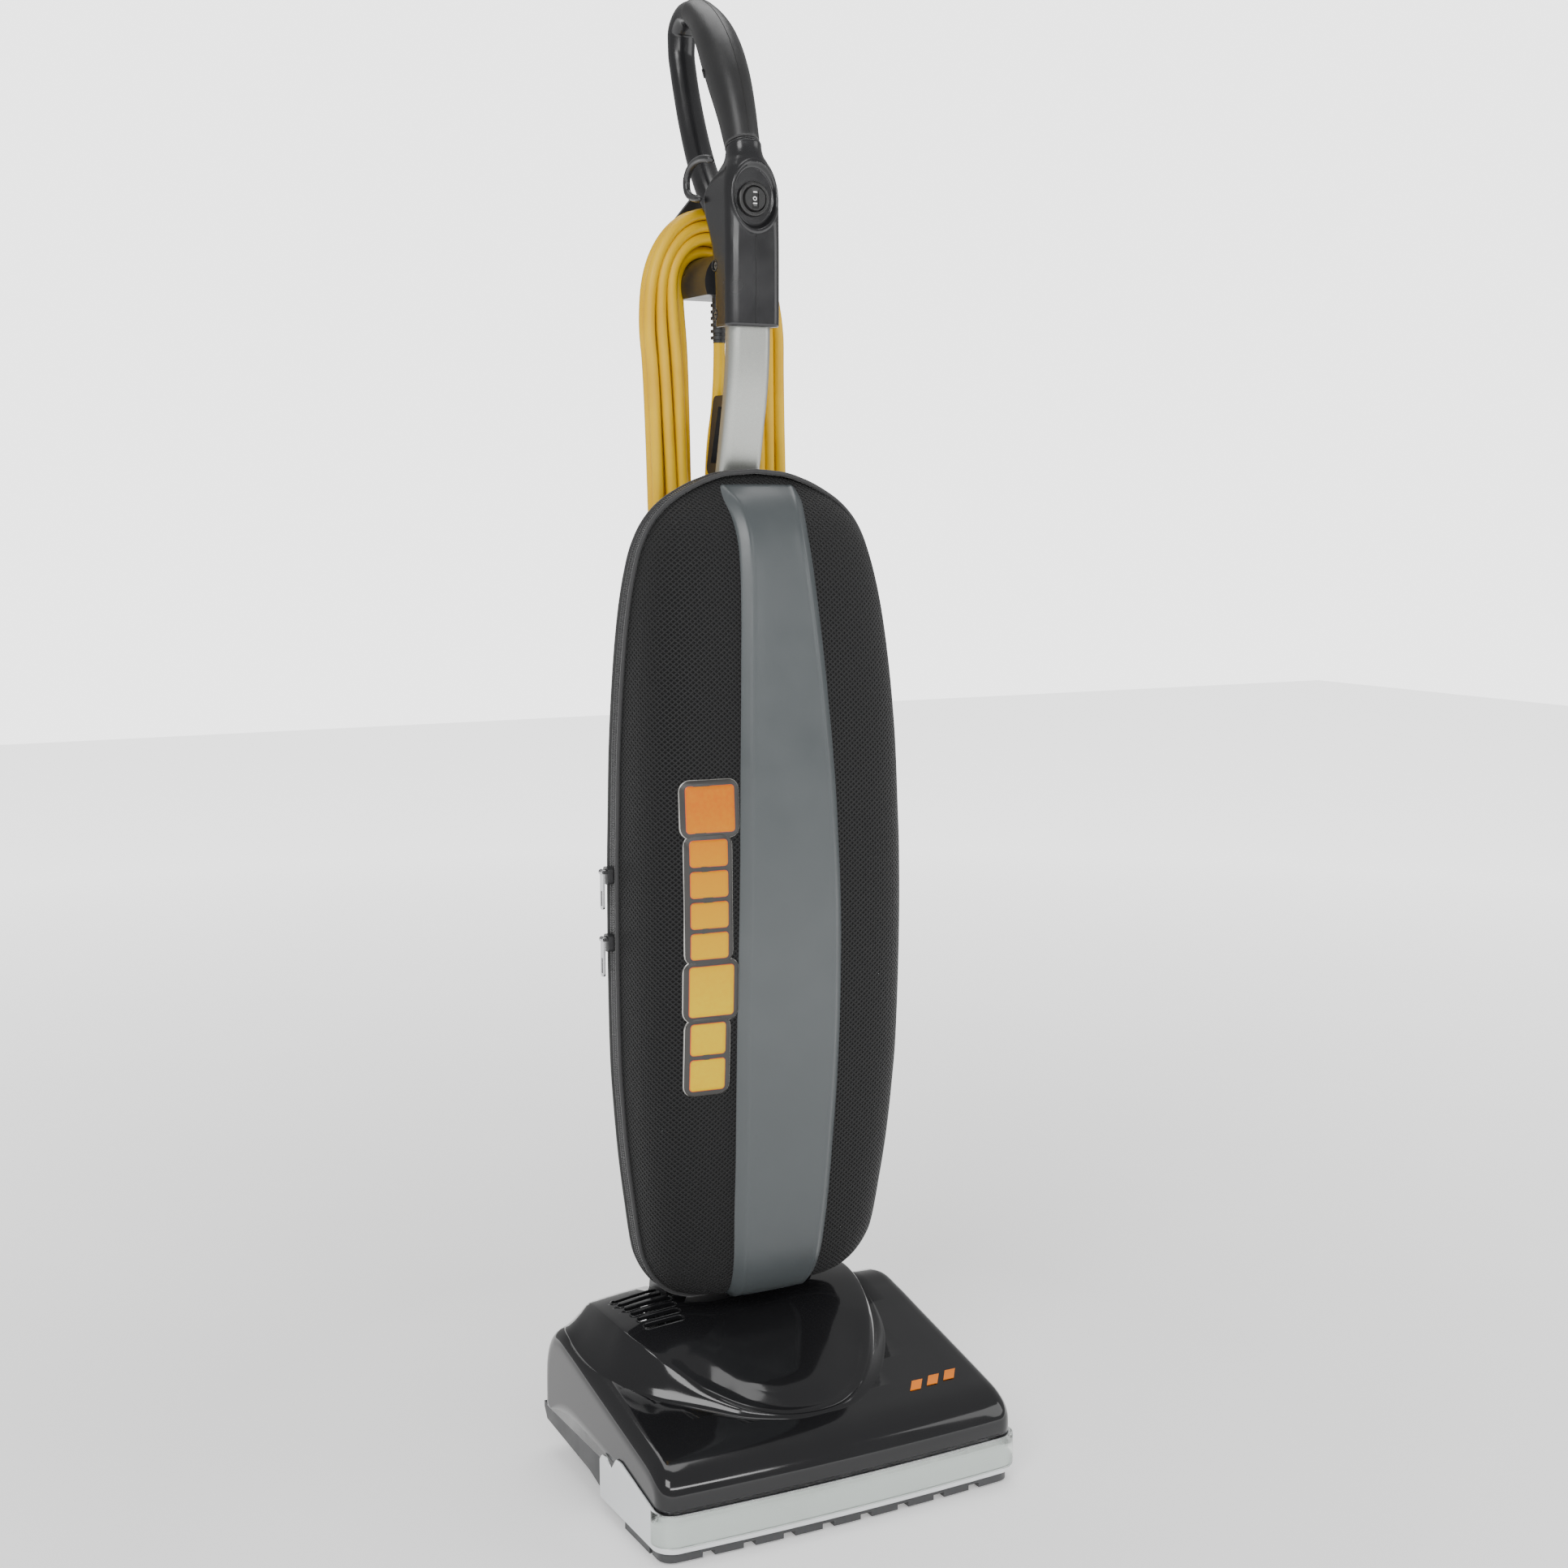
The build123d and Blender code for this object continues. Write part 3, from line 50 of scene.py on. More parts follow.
# ---------------------------------------------------------------- camera, light and floor
def make_camera():
    """Camera at the photograph's angle."""
    data = bpy.data.cameras.new("camera")
    data.lens = 49.17
    data.sensor_width = 36
    camera = bpy.data.objects.new("camera", data)
    camera.location = (-0.7896, -1.5180, 0.7885)
    camera.rotation_euler = (math.radians(90 - 7.366), 0, math.radians(-28.055))
    bpy.context.collection.objects.link(camera)
    bpy.context.scene.camera = camera


def make_lights():
    """Soft studio light: pale world, large key at the front left, fill, top light and a wide strip in front."""
    world = bpy.data.worlds.new("studio")
    bpy.context.scene.world = world
    world.use_nodes = True
    tree = world.node_tree
    soft = tree.nodes["Background"]
    soft.inputs[0].default_value = (1, 1, 1, 1)
    soft.inputs[1].default_value = 0.48
    white = tree.nodes.new("ShaderNodeBackground")
    white.inputs[1].default_value = 4.0
    seen, choose = tree.nodes.new("ShaderNodeLightPath"), tree.nodes.new("ShaderNodeMixShader")
    tree.links.new(seen.outputs["Is Camera Ray"], choose.inputs[0])
    tree.links.new(soft.outputs[0], choose.inputs[1])
    tree.links.new(white.outputs[0], choose.inputs[2])
    tree.links.new(choose.outputs[0], tree.nodes["World Output"].inputs[0])
    for name, place, aim, size, power in (
        ("key", (-2.4, -2.2, 2.6), (0, 0, 0.5), 1.6, 70),
        ("fill", (2.6, -1.8, 1.6), (0, 0, 0.5), 1.8, 26),
        ("top", (0.2, 0.6, 3.0), (0, 0, 0.4), 1.8, 34),
        ("strip", (-0.3, -3.0, 1.5), (0, 0, 0.1), 3.2, 36),
    ):
        light = bpy.data.lights.new(name, "AREA")
        light.size = size
        light.energy = power
        if name == "strip":
            light.shape = "RECTANGLE"
            light.size_y = 0.28
        obj = bpy.data.objects.new(name, light)
        obj.location = place
        obj.rotation_euler = (Vector(aim) - Vector(place)).to_track_quat("-Z", "Y").to_euler()
        bpy.context.collection.objects.link(obj)


# ---------------------------------------------------------------- material helpers
class Nodes:
    """Small wrapper that adds and links shader nodes."""

    def __init__(self, name):
        self.mat = bpy.data.materials.new(name)
        self.mat.use_nodes = True
        self.tree = self.mat.node_tree
        self.bsdf = self.tree.nodes["Principled BSDF"]

    def add(self, kind, **values):
        node = self.tree.nodes.new(kind)
        for key, value in values.items():
            if hasattr(node, key):
                setattr(node, key, value)
        return node

    def link(self, out, into):
        self.tree.links.new(out, into)

    def coords(self, kind="Object", scale=(1, 1, 1)):
        here = self.add("ShaderNodeTexCoord")
        size = self.add("ShaderNodeMapping")
        size.inputs["Scale"].default_value = scale
        self.link(here.outputs[kind], size.inputs["Vector"])
        return size.outputs[0]

    def split(self, kind="Object"):
        """X, Y and Z of the coordinates."""
        node = self.add("ShaderNodeSeparateXYZ")
        self.link(self.coords(kind), node.inputs[0])
        return node.outputs

    def noise(self, scale, detail=3.0, stretch=(1, 1, 1), kind="Object"):
        node = self.add("ShaderNodeTexNoise")
        node.inputs["Scale"].default_value = scale
        node.inputs["Detail"].default_value = detail
        self.link(self.coords(kind, stretch), node.inputs["Vector"])
        return node.outputs["Fac"]

    def span(self, value, low, high, from_low=0.3, from_high=0.7):
        node = self.add("ShaderNodeMapRange")
        node.inputs["From Min"].default_value = from_low
        node.inputs["From Max"].default_value = from_high
        node.inputs["To Min"].default_value = low
        node.inputs["To Max"].default_value = high
        self.link(value, node.inputs["Value"])
        return node.outputs[0]

    def math(self, how, a, b=None):
        node = self.add("ShaderNodeMath", operation=how)
        for i, v in enumerate((a, b)):
            if v is None:
                continue
            if isinstance(v, (int, float)):
                node.inputs[i].default_value = v
            else:
                self.link(v, node.inputs[i])
        return node.outputs[0]

    def mix(self, factor, a, b):
        node = self.add("ShaderNodeMix", data_type="RGBA")
        for i, v in ((0, factor), (6, a), (7, b)):
            if isinstance(v, (int, float)):
                node.inputs[i].default_value = v
            elif isinstance(v, tuple):
                node.inputs[i].default_value = (*v, 1)
            else:
                self.link(v, node.inputs[i])
        return node.outputs[2]

    def bump(self, height, strength, distance, under=None):
        node = self.add("ShaderNodeBump")
        node.inputs["Strength"].default_value = strength
        node.inputs["Distance"].default_value = distance
        self.link(height, node.inputs["Height"])
        if under is not None:
            self.link(under, node.inputs["Normal"])
        return node.outputs[0]

    def finish(self, color=None, rough=None, normal=None, **sockets):
        into = self.bsdf.inputs
        for name, value in (("Base Color", color), ("Roughness", rough), ("Normal", normal)):
            if value is None:
                continue
            if isinstance(value, (int, float)):
                into[name].default_value = value
            elif isinstance(value, tuple):
                into[name].default_value = (*value, 1)
            else:
                self.link(value, into[name])
        for name, value in sockets.items():
            into[name.replace("_", " ")].default_value = value
        return self.mat


def moulded(name, color, rough, grain=0.0, grain_scale=1500, vary=0.12, smear=0.06, **sockets):
    """Moulded plastic or rubber: colour drift, smeared gloss and, where asked for, a fine grain."""
    n = Nodes(name)
    drift = n.noise(9, 4)
    dark = tuple(c * (1 - vary) for c in color)
    light = tuple(min(1, c * (1 + vary)) for c in color)
    base = n.mix(n.span(drift, 0, 1), dark, light)
    gloss = n.span(n.noise(38, 5), rough - smear, rough + smear)
    normal = None
    if grain:
        normal = n.bump(n.noise(grain_scale, 2), grain, 0.0002)
    return n.finish(base, gloss, normal, **sockets)


def brushed(name, color, rough, along, fine=700, strength=0.12, **sockets):
    """Metal with fine brushing along one axis."""
    n = Nodes(name)
    stretch = [fine] * 3
    stretch[along] = 4
    lines = n.noise(1, 3, tuple(stretch))
    cloud = n.noise(14, 4)
    base = n.mix(n.span(cloud, 0, 1), tuple(c * 0.93 for c in color), color)
    gloss = n.math("ADD", n.span(lines, -0.05, 0.05), n.span(cloud, rough - 0.04, rough + 0.04))
    return n.finish(base, gloss, n.bump(lines, strength, 0.0001), Metallic=1.0, **sockets)


def blasted(name, color, rough, **sockets):
    """Bead-blasted, anodised aluminium."""
    n = Nodes(name)
    speck = n.noise(1600, 2)
    cloud = n.noise(7, 4)
    base = n.mix(n.span(speck, 0, 1), tuple(c * 0.82 for c in color), color)
    gloss = n.span(cloud, rough - 0.05, rough + 0.05)
    return n.finish(base, gloss, n.bump(speck, 0.25, 0.0001), Metallic=0.85, **sockets)


# ---------------------------------------------------------------- mesh helpers
def new_object(name, verts, faces, smooth=True):
    mesh = bpy.data.meshes.new(name)
    mesh.from_pydata([tuple(v) for v in verts], [], faces)
    mesh.validate()
    mesh.update()
    obj = bpy.data.objects.new(name, mesh)
    bpy.context.collection.objects.link(obj)
    if smooth:
        for polygon in mesh.polygons:
            polygon.use_smooth = True
    return obj


def give(obj, *materials):
    obj.data.materials.clear()
    for material in materials:
        obj.data.materials.append(material)
    return obj


def subdivide(obj, levels=2):
    modifier = obj.modifiers.new("subdivision", "SUBSURF")
    modifier.levels = levels
    modifier.render_levels = levels
    return obj


def rings_mesh(name, rings, closed=False, foot=True):
    """Skin over rings of equal count, capped at the last and, with a foot, at the first, or else closed."""
    count, number = len(rings[0]), len(rings)
    faces = []
    for i in range(number if closed else number - 1):
        a, b = i * count, (i + 1) % number * count
        faces += [(a + k, a + (k + 1) % count, b + (k + 1) % count, b + k) for k in range(count)]
    if foot and not closed:
        faces.append(tuple(reversed(range(count))))
    if not closed:
        faces.append(tuple(range((number - 1) * count, number * count)))
    return new_object(name, [p for ring in rings for p in ring], faces)


def tube_mesh(name, points, radius, sides=12, closed=False):
    """A tube along points; radius is a number or one per point."""
    count = len(points)
    radii = [radius] * count if isinstance(radius, (int, float)) else radius
    rings, normal = [], None
    for i, point in enumerate(points):
        before = points[i - 1] if i or closed else point
        after = points[(i + 1) % count] if i < count - 1 or closed else point
        along = (Vector(after) - Vector(before)).normalized()
        if normal is None:
            normal = along.orthogonal().normalized()
        normal = (normal - along * normal.dot(along)).normalized()
        side = along.cross(normal)
        ring = [radii[i] * (math.cos(t) * normal + math.sin(t) * side) for t in turns(sides)]
        rings.append([Vector(point) + offset for offset in ring])
    return rings_mesh(name, rings, closed)


def unit(value):
    """Value held between 0 and 1."""
    return min(1.0, max(0.0, value))


def signed(value, power):
    """Power of a value that keeps its sign."""
    return math.copysign(abs(value)**power, value)


def turns(steps):
    """Evenly spaced angles once round."""
    return [2 * math.pi * k / steps for k in range(steps)]


def arc(cx, cy, radius, start, turn, steps):
    """Points of an arc, from start through turn in degrees."""
    angles = [math.radians(start + turn * k / steps) for k in range(steps + 1)]
    return [(cx + radius * math.cos(a), cy + radius * math.sin(a)) for a in angles]


def mm(point):
    return Vector(point) * MM


def smooth_line(keys, count):
    """Each of count evenly spaced positions, with the values of (position, value...) keys there."""
    result = []
    for i in range(count):
        x = keys[0][0] + (keys[-1][0] - keys[0][0]) * i / (count - 1)
        result.append((x, *at_line(keys, x)))
    return result


def key_slope(keys, i, j):
    """Slope of value j at key i: harmonic mean of both sides, or none at a turning point."""
    last = len(keys) - 1
    if i <= 0 or i >= last:
        a, b = (0, 1) if i <= 0 else (last - 1, last)
        return (keys[b][j] - keys[a][j]) / (keys[b][0] - keys[a][0])
    left = (keys[i][j] - keys[i - 1][j]) / (keys[i][0] - keys[i - 1][0])
    right = (keys[i + 1][j] - keys[i][j]) / (keys[i + 1][0] - keys[i][0])
    return 0.0 if left * right <= 0 else 2 * left * right / (left + right)


def at_line(keys, x):
    """Monotone cubic values of keys at x, each key a position followed by its values."""
    k = 0
    while k < len(keys) - 2 and x > keys[k + 1][0]:
        k += 1
    x0, x1 = keys[k][0], keys[k + 1][0]
    t = unit((x - x0) / (x1 - x0))
    values = []
    for j in range(1, len(keys[0])):
        y0, y1 = keys[k][j], keys[k + 1][j]
        m0, m1 = key_slope(keys, k, j) * (x1 - x0), key_slope(keys, k + 1, j) * (x1 - x0)
        values.append((2 * t**3 - 3 * t**2 + 1) * y0 + (t**3 - 2 * t**2 + t) * m0
                      + (-2 * t**3 + 3 * t**2) * y1 + (t**3 - t**2) * m1)
    return values


def put(obj, material, body):
    """Paint an added piece and tie it to its body and material slot."""
    give(obj, material)
    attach(obj, body)
    return obj


# ---------------------------------------------------------------- power cord
CORD_D = 9.5
STRANDS = (29.0, 38.9, 48.8, 58.7)         # half widths of the hank's four rows
SHOULDERS = (967.0, 957.0, 947.0, 937.0)   # heights at which each row starts to lean in
LAYERS = (92.8, 102.3)                   # depths of the hank's two layers
TOP_Z, LOW_Z = 967.0, 467.0              # heights of the two hooks
CONTROL_OUT = 1 / math.cos(math.radians(15))   # control points lie this much outside the arc they make
HANG_FOOT, HANG_SPAN = 430, 560          # stretch of the hank that hangs to one side


def bend(radius, y, top):
    """Control points of one half turn over a hook, from +X to -X at the bottom, or back at the top."""
    shoulder = SHOULDERS[STRANDS.index(radius)]
    points = []
    for k in range(7):
        angle = math.radians(30 * k)
        x, z = radius * CONTROL_OUT * math.cos(angle), CONTROL_OUT * math.sin(angle)
        if top:
            points.append((-x, y, shoulder + (TOP_Z + radius - shoulder) * z))
        else:
            points.append((x, y, LOW_Z - radius * z))
    return points


def hang(points):
    """Let the hank hang a little to one side between its hooks, each strand in its own way."""
    hung = []
    for i, (x, y, z) in enumerate(points):
        share = max(0.0, math.sin(math.pi * unit((z - HANG_FOOT) / HANG_SPAN))) ** 0.7
        side = 7.5 if x > 0 else 12.0 + 0.15 * max(0.0, STRANDS[-1] + x)
        wander = 1.3 * math.sin(z / 47 + 0.05 * abs(x) + i)
        hung.append((x + side * share + wander * share, y + 1.0 * share * math.cos(z / 61 + i), z))
    return hung


def cord_route():
    """The whole cord: lead, eight turns wound outwards and back inwards, tail to the plug."""
    lead = [(0, 76, 921), (0, 76, 882), (-1, 90, 836), (1, 96, 790), (2, 97, 735), (-2, 98, 680),
            (-4, 97, 628), (2, 97.5, 582), (16, 96, 545), (27, 94, 512)]
    route = []
    turns = [(r, LAYERS[0]) for r in STRANDS] + [(r, LAYERS[1]) for r in reversed(STRANDS)]
    for i, (radius, y) in enumerate(turns):
        if i:
            # right leg, going down from the top hook
            route += [(radius + 0.3, y, z) for z in (TOP_Z - 70, 760, 640)]
            route.append((radius, y, LOW_Z + 60))
        route += bend(radius, y, False)
        if i == len(turns) - 1:
            break
        after, after_y = turns[i + 1]
        # left leg, going up and crossing to the next row between these heights
        low, high = (690, 790) if y == LAYERS[0] else (480, 580)
        if after_y != y:
            low, high = 588, 684
        route += [(-radius, y, low - 6), (-radius, y, low + 20)]
        route += [(-after, after_y, high - 20), (-after, after_y, high + 6)]
        if high < TOP_Z - 120:
            route.append((-after, after_y, TOP_Z - 70))
        route += bend(after, after_y, True)
    tail = [(-29, 102.3, 500), (-29, 102.6, 540), (-31, 108, 600), (-38, 116, 630), (-45, 119, 655)]
    return lead + hang(route) + tail


def make_cord():
    """One smooth NURBS curve for the whole cord."""
    route = cord_route()
    curve = bpy.data.curves.new("power_cord", "CURVE")
    curve.dimensions = "3D"
    curve.bevel_depth = 1.0          # times each point's radius, which also sets the curve's bounding box
    curve.bevel_resolution = 5
    curve.resolution_u = 8
    curve.use_fill_caps = True
    spline = curve.splines.new("NURBS")
    spline.points.add(len(route) - 1)
    for point, (x, y, z) in zip(spline.points, route):
        point.co = (x * MM, y * MM, z * MM, 1)
        point.radius = CORD_D / 2 * MM
    spline.order_u = 3
    spline.use_endpoint_u = True
    cord = bpy.data.objects.new("power_cord", curve)
    bpy.context.collection.objects.link(cord)
    return cord


make_camera()
make_lights()

cord = make_cord()
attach(cord, "handle")
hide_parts("cord_lead", "cord_hank")


# ---------------------------------------------------------------- materials of the carried-over nodes
hood_black = moulded("hood_gloss", (0.010, 0.010, 0.011), 0.10, vary=0.1, smear=0.03, Coat_Weight=0.2,
                     Specular_IOR_Level=0.38, Coat_Roughness=0.04)
pan_black = moulded("pan_black", (0.035, 0.036, 0.038), 0.42, grain=0.25, grain_scale=900)
shell_black = moulded("handle_gloss", (0.012, 0.012, 0.013), 0.22, grain=0.08, grain_scale=1300)
grip_black = moulded("grip_soft", (0.013, 0.013, 0.0135), 0.38, grain=0.3, grain_scale=2200)
hook_black = moulded("hook_black", (0.020, 0.020, 0.021), 0.33, grain=0.15, grain_scale=1100)
switch_black = moulded("switch_black", (0.013, 0.013, 0.013), 0.28, grain=0.1, grain_scale=2500)
glide_grey = moulded("glide_grey", (0.045, 0.046, 0.048), 0.38, grain=0.3, grain_scale=700)
duct_grey = moulded("duct_grey", (0.14, 0.14, 0.145), 0.45, grain=0.2)
amber = moulded("fan_amber", (0.42, 0.22, 0.05), 0.28)
rubber = moulded("rubber_black", (0.02, 0.02, 0.02), 0.65, grain=0.5, grain_scale=800)
wheel_grey = moulded("wheel_grey", (0.09, 0.09, 0.095), 0.42, grain=0.2)
orange = moulded("badge_orange", (0.80, 0.20, 0.002), 0.3, vary=0.2)
spine_grey = moulded("spine_blue_grey", (0.056, 0.064, 0.067), 0.34, grain=0.22, grain_scale=1500, vary=0.05)
plaque_grey = moulded("plaque_grey", (0.024, 0.022, 0.020), 0.38)
card = moulded("collar_card", (0.45, 0.32, 0.2), 0.8, grain=0.4)
paper = moulded("bag_paper", (0.62, 0.52, 0.38), 0.85, grain=0.5, grain_scale=300)
tape_black = moulded("zip_tape", (0.014, 0.014, 0.014), 0.75, grain=0.6, grain_scale=1800)
bristle = moulded("bristle_black", (0.02, 0.02, 0.02), 0.5, grain=0.6, grain_scale=2600)
relief_black = moulded("relief_black", (0.025, 0.025, 0.026), 0.5, grain=0.25)
zinc = brushed("guard_zinc", (0.80, 0.82, 0.83), 0.34, 0, strength=0.02)
steel = brushed("machined_steel", (0.5, 0.5, 0.5), 0.33, 0)
chrome = brushed("zip_chrome", (0.42, 0.42, 0.43), 0.18, 2, strength=0.03)
tube_metal = blasted("tube_aluminium", (0.40, 0.41, 0.385), 0.38)
wood = moulded("dowel_wood", (0.42, 0.27, 0.13), 0.35, vary=0.25)
yoke_metal = moulded("yoke_paint", (0.03, 0.03, 0.032), 0.35, grain=0.35, grain_scale=600)

vinyl_nodes = Nodes("bumper_vinyl")
bumper_vinyl = vinyl_nodes.finish((0.86, 0.89, 0.86), vinyl_nodes.span(vinyl_nodes.noise(30, 4), 0.10, 0.2),
                                  Transmission_Weight=1.0, IOR=1.12)


def yellow_pvc(n):
    """Warm yellow that drifts a little."""
    return n.mix(n.span(n.noise(24, 3), 0, 1), (0.62, 0.35, 0.0005), (0.70, 0.43, 0.001))


def yellow_jacket():
    """Cord jacket."""
    n = Nodes("cord_yellow")
    gloss = n.span(n.noise(60, 4), 0.32, 0.46)
    return n.finish(yellow_pvc(n), gloss, n.bump(n.noise(900, 3), 0.12, 0.0002), Specular_IOR_Level=0.3)


def moulded_plug():
    """Plug in the cord's yellow, with bare metal from its face upwards."""
    n = Nodes("plug_yellow")
    blade = n.span(n.split()[2], 0, 1, 0.7028, 0.7032)
    n.link(blade, n.bsdf.inputs["Metallic"])
    return n.finish(n.mix(blade, yellow_pvc(n), (0.55, 0.54, 0.50)), n.span(n.noise(60, 4), 0.28, 0.42),
                    n.bump(n.noise(900, 3), 0.12, 0.0002))


cord_yellow = yellow_jacket()
plug_yellow = moulded_plug()
give(cord, cord_yellow)

PAINT = {
    hood_black: ["top_hood"],
    pan_black: ["base_pan", "release_pedal"],
    shell_black: ["handle_shell_left", "handle_shell_right"],
    grip_black: ["soft_grip"],
    hook_black: ["cord_outlet_block", "cord_hook_upper", "cord_hook_lower", "cord_ring", "carry_handle",
                 "zip_slider_upper", "zip_slider_lower"],
    switch_black: ["switch_bezel", "switch_rocker", "switch_body"],
    glide_grey: ["glide_strip"],
    duct_grey: ["fan_housing_inner", "fan_housing_outer", "intake_duct", "outlet_duct", "brush_end_caps"],
    amber: ["dirt_fan"],
    rubber: ["motor_mounts", "drive_belt", "rear_tyre_left", "rear_tyre_right"],
    wheel_grey: ["rear_wheel_left", "rear_wheel_right", "front_roller_left", "front_roller_right"],
    orange: ["hood_badge"],
    zinc: ["nozzle_guard"],
    steel: ["motor_case", "motor_shaft", "drive_pulley", "axles", "pivot_bracket", "pedal_bracket",
            "brush_cover_plate", "housing_screws"],
    chrome: ["zip_pull_upper", "zip_pull_lower"],
    tube_metal: ["handle_tube"],
    wood: ["brush_dowel"],
    bristle: ["brush_tufts"],
    yoke_metal: ["handle_yoke"],
    spine_grey: ["spine_panel"],
    plaque_grey: ["shell_plaque"],
    tape_black: ["zipper_tape_front", "zipper_tape_rear"],
    paper: ["filter_bag"],
    card: ["bag_collar"],
    relief_black: ["strain_relief"],
    bumper_vinyl: ["furniture_bumper"],
    plug_yellow: ["cord_plug"],
}
for material, names in PAINT.items():
    for name in names:
        give(nodes[name], material)


# ---------------------------------------------------------------- bag housing: shapes
# right half of the seam's outline, as (x, z), from bottom to top
SEAM_LOW, SEAM_HIGH, SEAM_Y = 146.0, 816.0, 20.0
SEAM = [(0, 146), (30, 146.2), (58, 147.2), (72, 150.5), (85, 158), (93, 167), (99, 177), (104, 190),
        (110, 229), (115, 269), (118.5, 309), (121, 349), (122, 400), (122.3, 450), (122, 509), (121, 549),
        (120, 589), (118, 629), (115, 669), (110.5, 709), (102.5, 749), (96, 766), (88, 779), (76, 791),
        (62, 800), (45, 808), (25, 813.8), (0, 816)]
# centre line of the mesh-covered front, as (y, z), from the seam's bottom to its top
FRONT = [(20, 146), (12, 146.1), (2, 147.2), (-7, 150.5), (-15, 158), (-22, 171), (-27, 189), (-32.5, 229),
         (-37, 269), (-40.5, 309), (-43.5, 349), (-45.5, 389), (-47, 429), (-47.7, 469), (-47, 509), (-45, 549),
         (-42.5, 589), (-39, 629), (-35, 669), (-30, 709), (-23, 749), (-16, 770), (-6, 788), (4, 800),
         (12, 809), (20, 816)]


def arc_keys(points):
    """Keys of arc length, then both coordinates."""
    keys, at = [(0.0, *points[0])], 0.0
    for a, b in zip(points, points[1:]):
        at += math.dist(a, b)
        keys.append((at, *b))
    return keys


SEAM_KEYS = arc_keys(SEAM)
FRONT_KEYS = arc_keys(FRONT)
HALF_KEYS = [(z, x) for x, z in SEAM]


def seam_loop(count, grow=0.0):
    """Closed, evenly spaced loop of (x, z) round the seam, grown outwards."""
    half = count // 2
    right = [p[1:] for p in smooth_line(SEAM_KEYS, half + 1)]
    loop = right + [(-x, z) for x, z in reversed(right[1:-1])]
    if not grow:
        return loop
    grown = []
    for i, (x, z) in enumerate(loop):
        ax, az = loop[i - 1]
        bx, bz = loop[(i + 1) % len(loop)]
        dx, dz = bx - ax, bz - az
        size = math.hypot(dx, dz)
        grown.append((x + grow * dz / size, z - grow * dx / size))
    return grown


def half_at(z):
    """Half width inside the seam at a height."""
    return max(0.0, at_line(HALF_KEYS, min(SEAM_HIGH, max(SEAM_LOW, z)))[0])


def squareness(z):
    """Exponent of the shell's cross-section: boxy in the middle, rounder at both ends."""
    return at_line([(146, 4.0), (190, 6.0), (300, 7.0), (600, 7.0), (740, 5.0), (816, 3.2)], z)[0]


def depth_share(x, z):
    """How much of the shell's depth is left at x, from 1 in the middle to 0 at the seam."""
    half = half_at(z)
    if half < 0.01:
        return 0.0
    share = min(1.0, abs(x) / half)
    return (1 - share ** squareness(z)) ** (1 / 2.3)


FRONT_BY_Z = [(z, y) for y, z in FRONT[5:]]


def front_y(x, z):
    """The mesh-covered surface's y at (x, z), above its rounded lower end."""
    middle = at_line(FRONT_BY_Z, z)[0]
    return SEAM_Y - (SEAM_Y - middle) * depth_share(x, z)


# shares of the half width at which the front shell has a column of points, closer towards the seam
HALF_ACROSS = [0, 0.1, 0.2, 0.3, 0.4, 0.5, 0.58, 0.65, 0.71, 0.76, 0.81, 0.85, 0.885, 0.915, 0.94, 0.96,
               0.975, 0.987, 0.995, 0.999, 1.0]
ACROSS = [-a for a in reversed(HALF_ACROSS[1:])] + HALF_ACROSS


def uv_grid(name, rows):
    """A mesh of rows of points, with UV in metres along the rows and down the columns."""
    width = len(rows[0])
    verts = [p for row in rows for p in row]
    faces = []
    for i in range(len(rows) - 1):
        for k in range(width - 1):
            a = i * width + k
            faces.append((a, a + 1, a + width + 1, a + width))
    obj = new_object(name, verts, faces)
    across = []
    middle = width // 2
    for row in rows:
        along = [0.0]
        for a, b in zip(row, row[1:]):
            along.append(along[-1] + (Vector(b) - Vector(a)).length)
        across.append([v - along[middle] for v in along])
    down = [0.0]
    for a, b in zip(rows, rows[1:]):
        down.append(down[-1] + (Vector(b[middle]) - Vector(a[middle])).length)
    layer = obj.data.uv_layers.new(name="cloth")
    for loop in obj.data.loops:
        i, k = divmod(loop.vertex_index, width)
        layer.data[loop.index].uv = (across[i][k], down[i])
    return obj


def make_shell():
    """Front shell under its spacer mesh."""
    rows = []
    for _, y, z in smooth_line(FRONT_KEYS, 150):
        half = half_at(z)
        depth = SEAM_Y - y
        rows.append([mm((half * a, SEAM_Y - 0.3 - depth * depth_share(half * a, z), z)) for a in ACROSS])
    return uv_grid("bag_front", rows)


def make_back():
    """Rear shell: shallow pan with rounded edge."""
    rows = []
    profile = [(20.3, 1.0), (24, 1.0), (28, 0.998), (31, 0.985), (33, 0.965), (34.2, 0.93), (34.5, 0.88),
               (34.5, 0.5), (34.5, 0.02)]
    loop = seam_loop(200)
    for y, share in profile:
        row = []
        for x, z in loop + loop[:1]:
            centre = min(700.0, max(262.0, z))
            row.append(mm((x * share, y, centre + (z - centre) * share)))
        rows.append(row)
    return uv_grid("bag_back", rows)


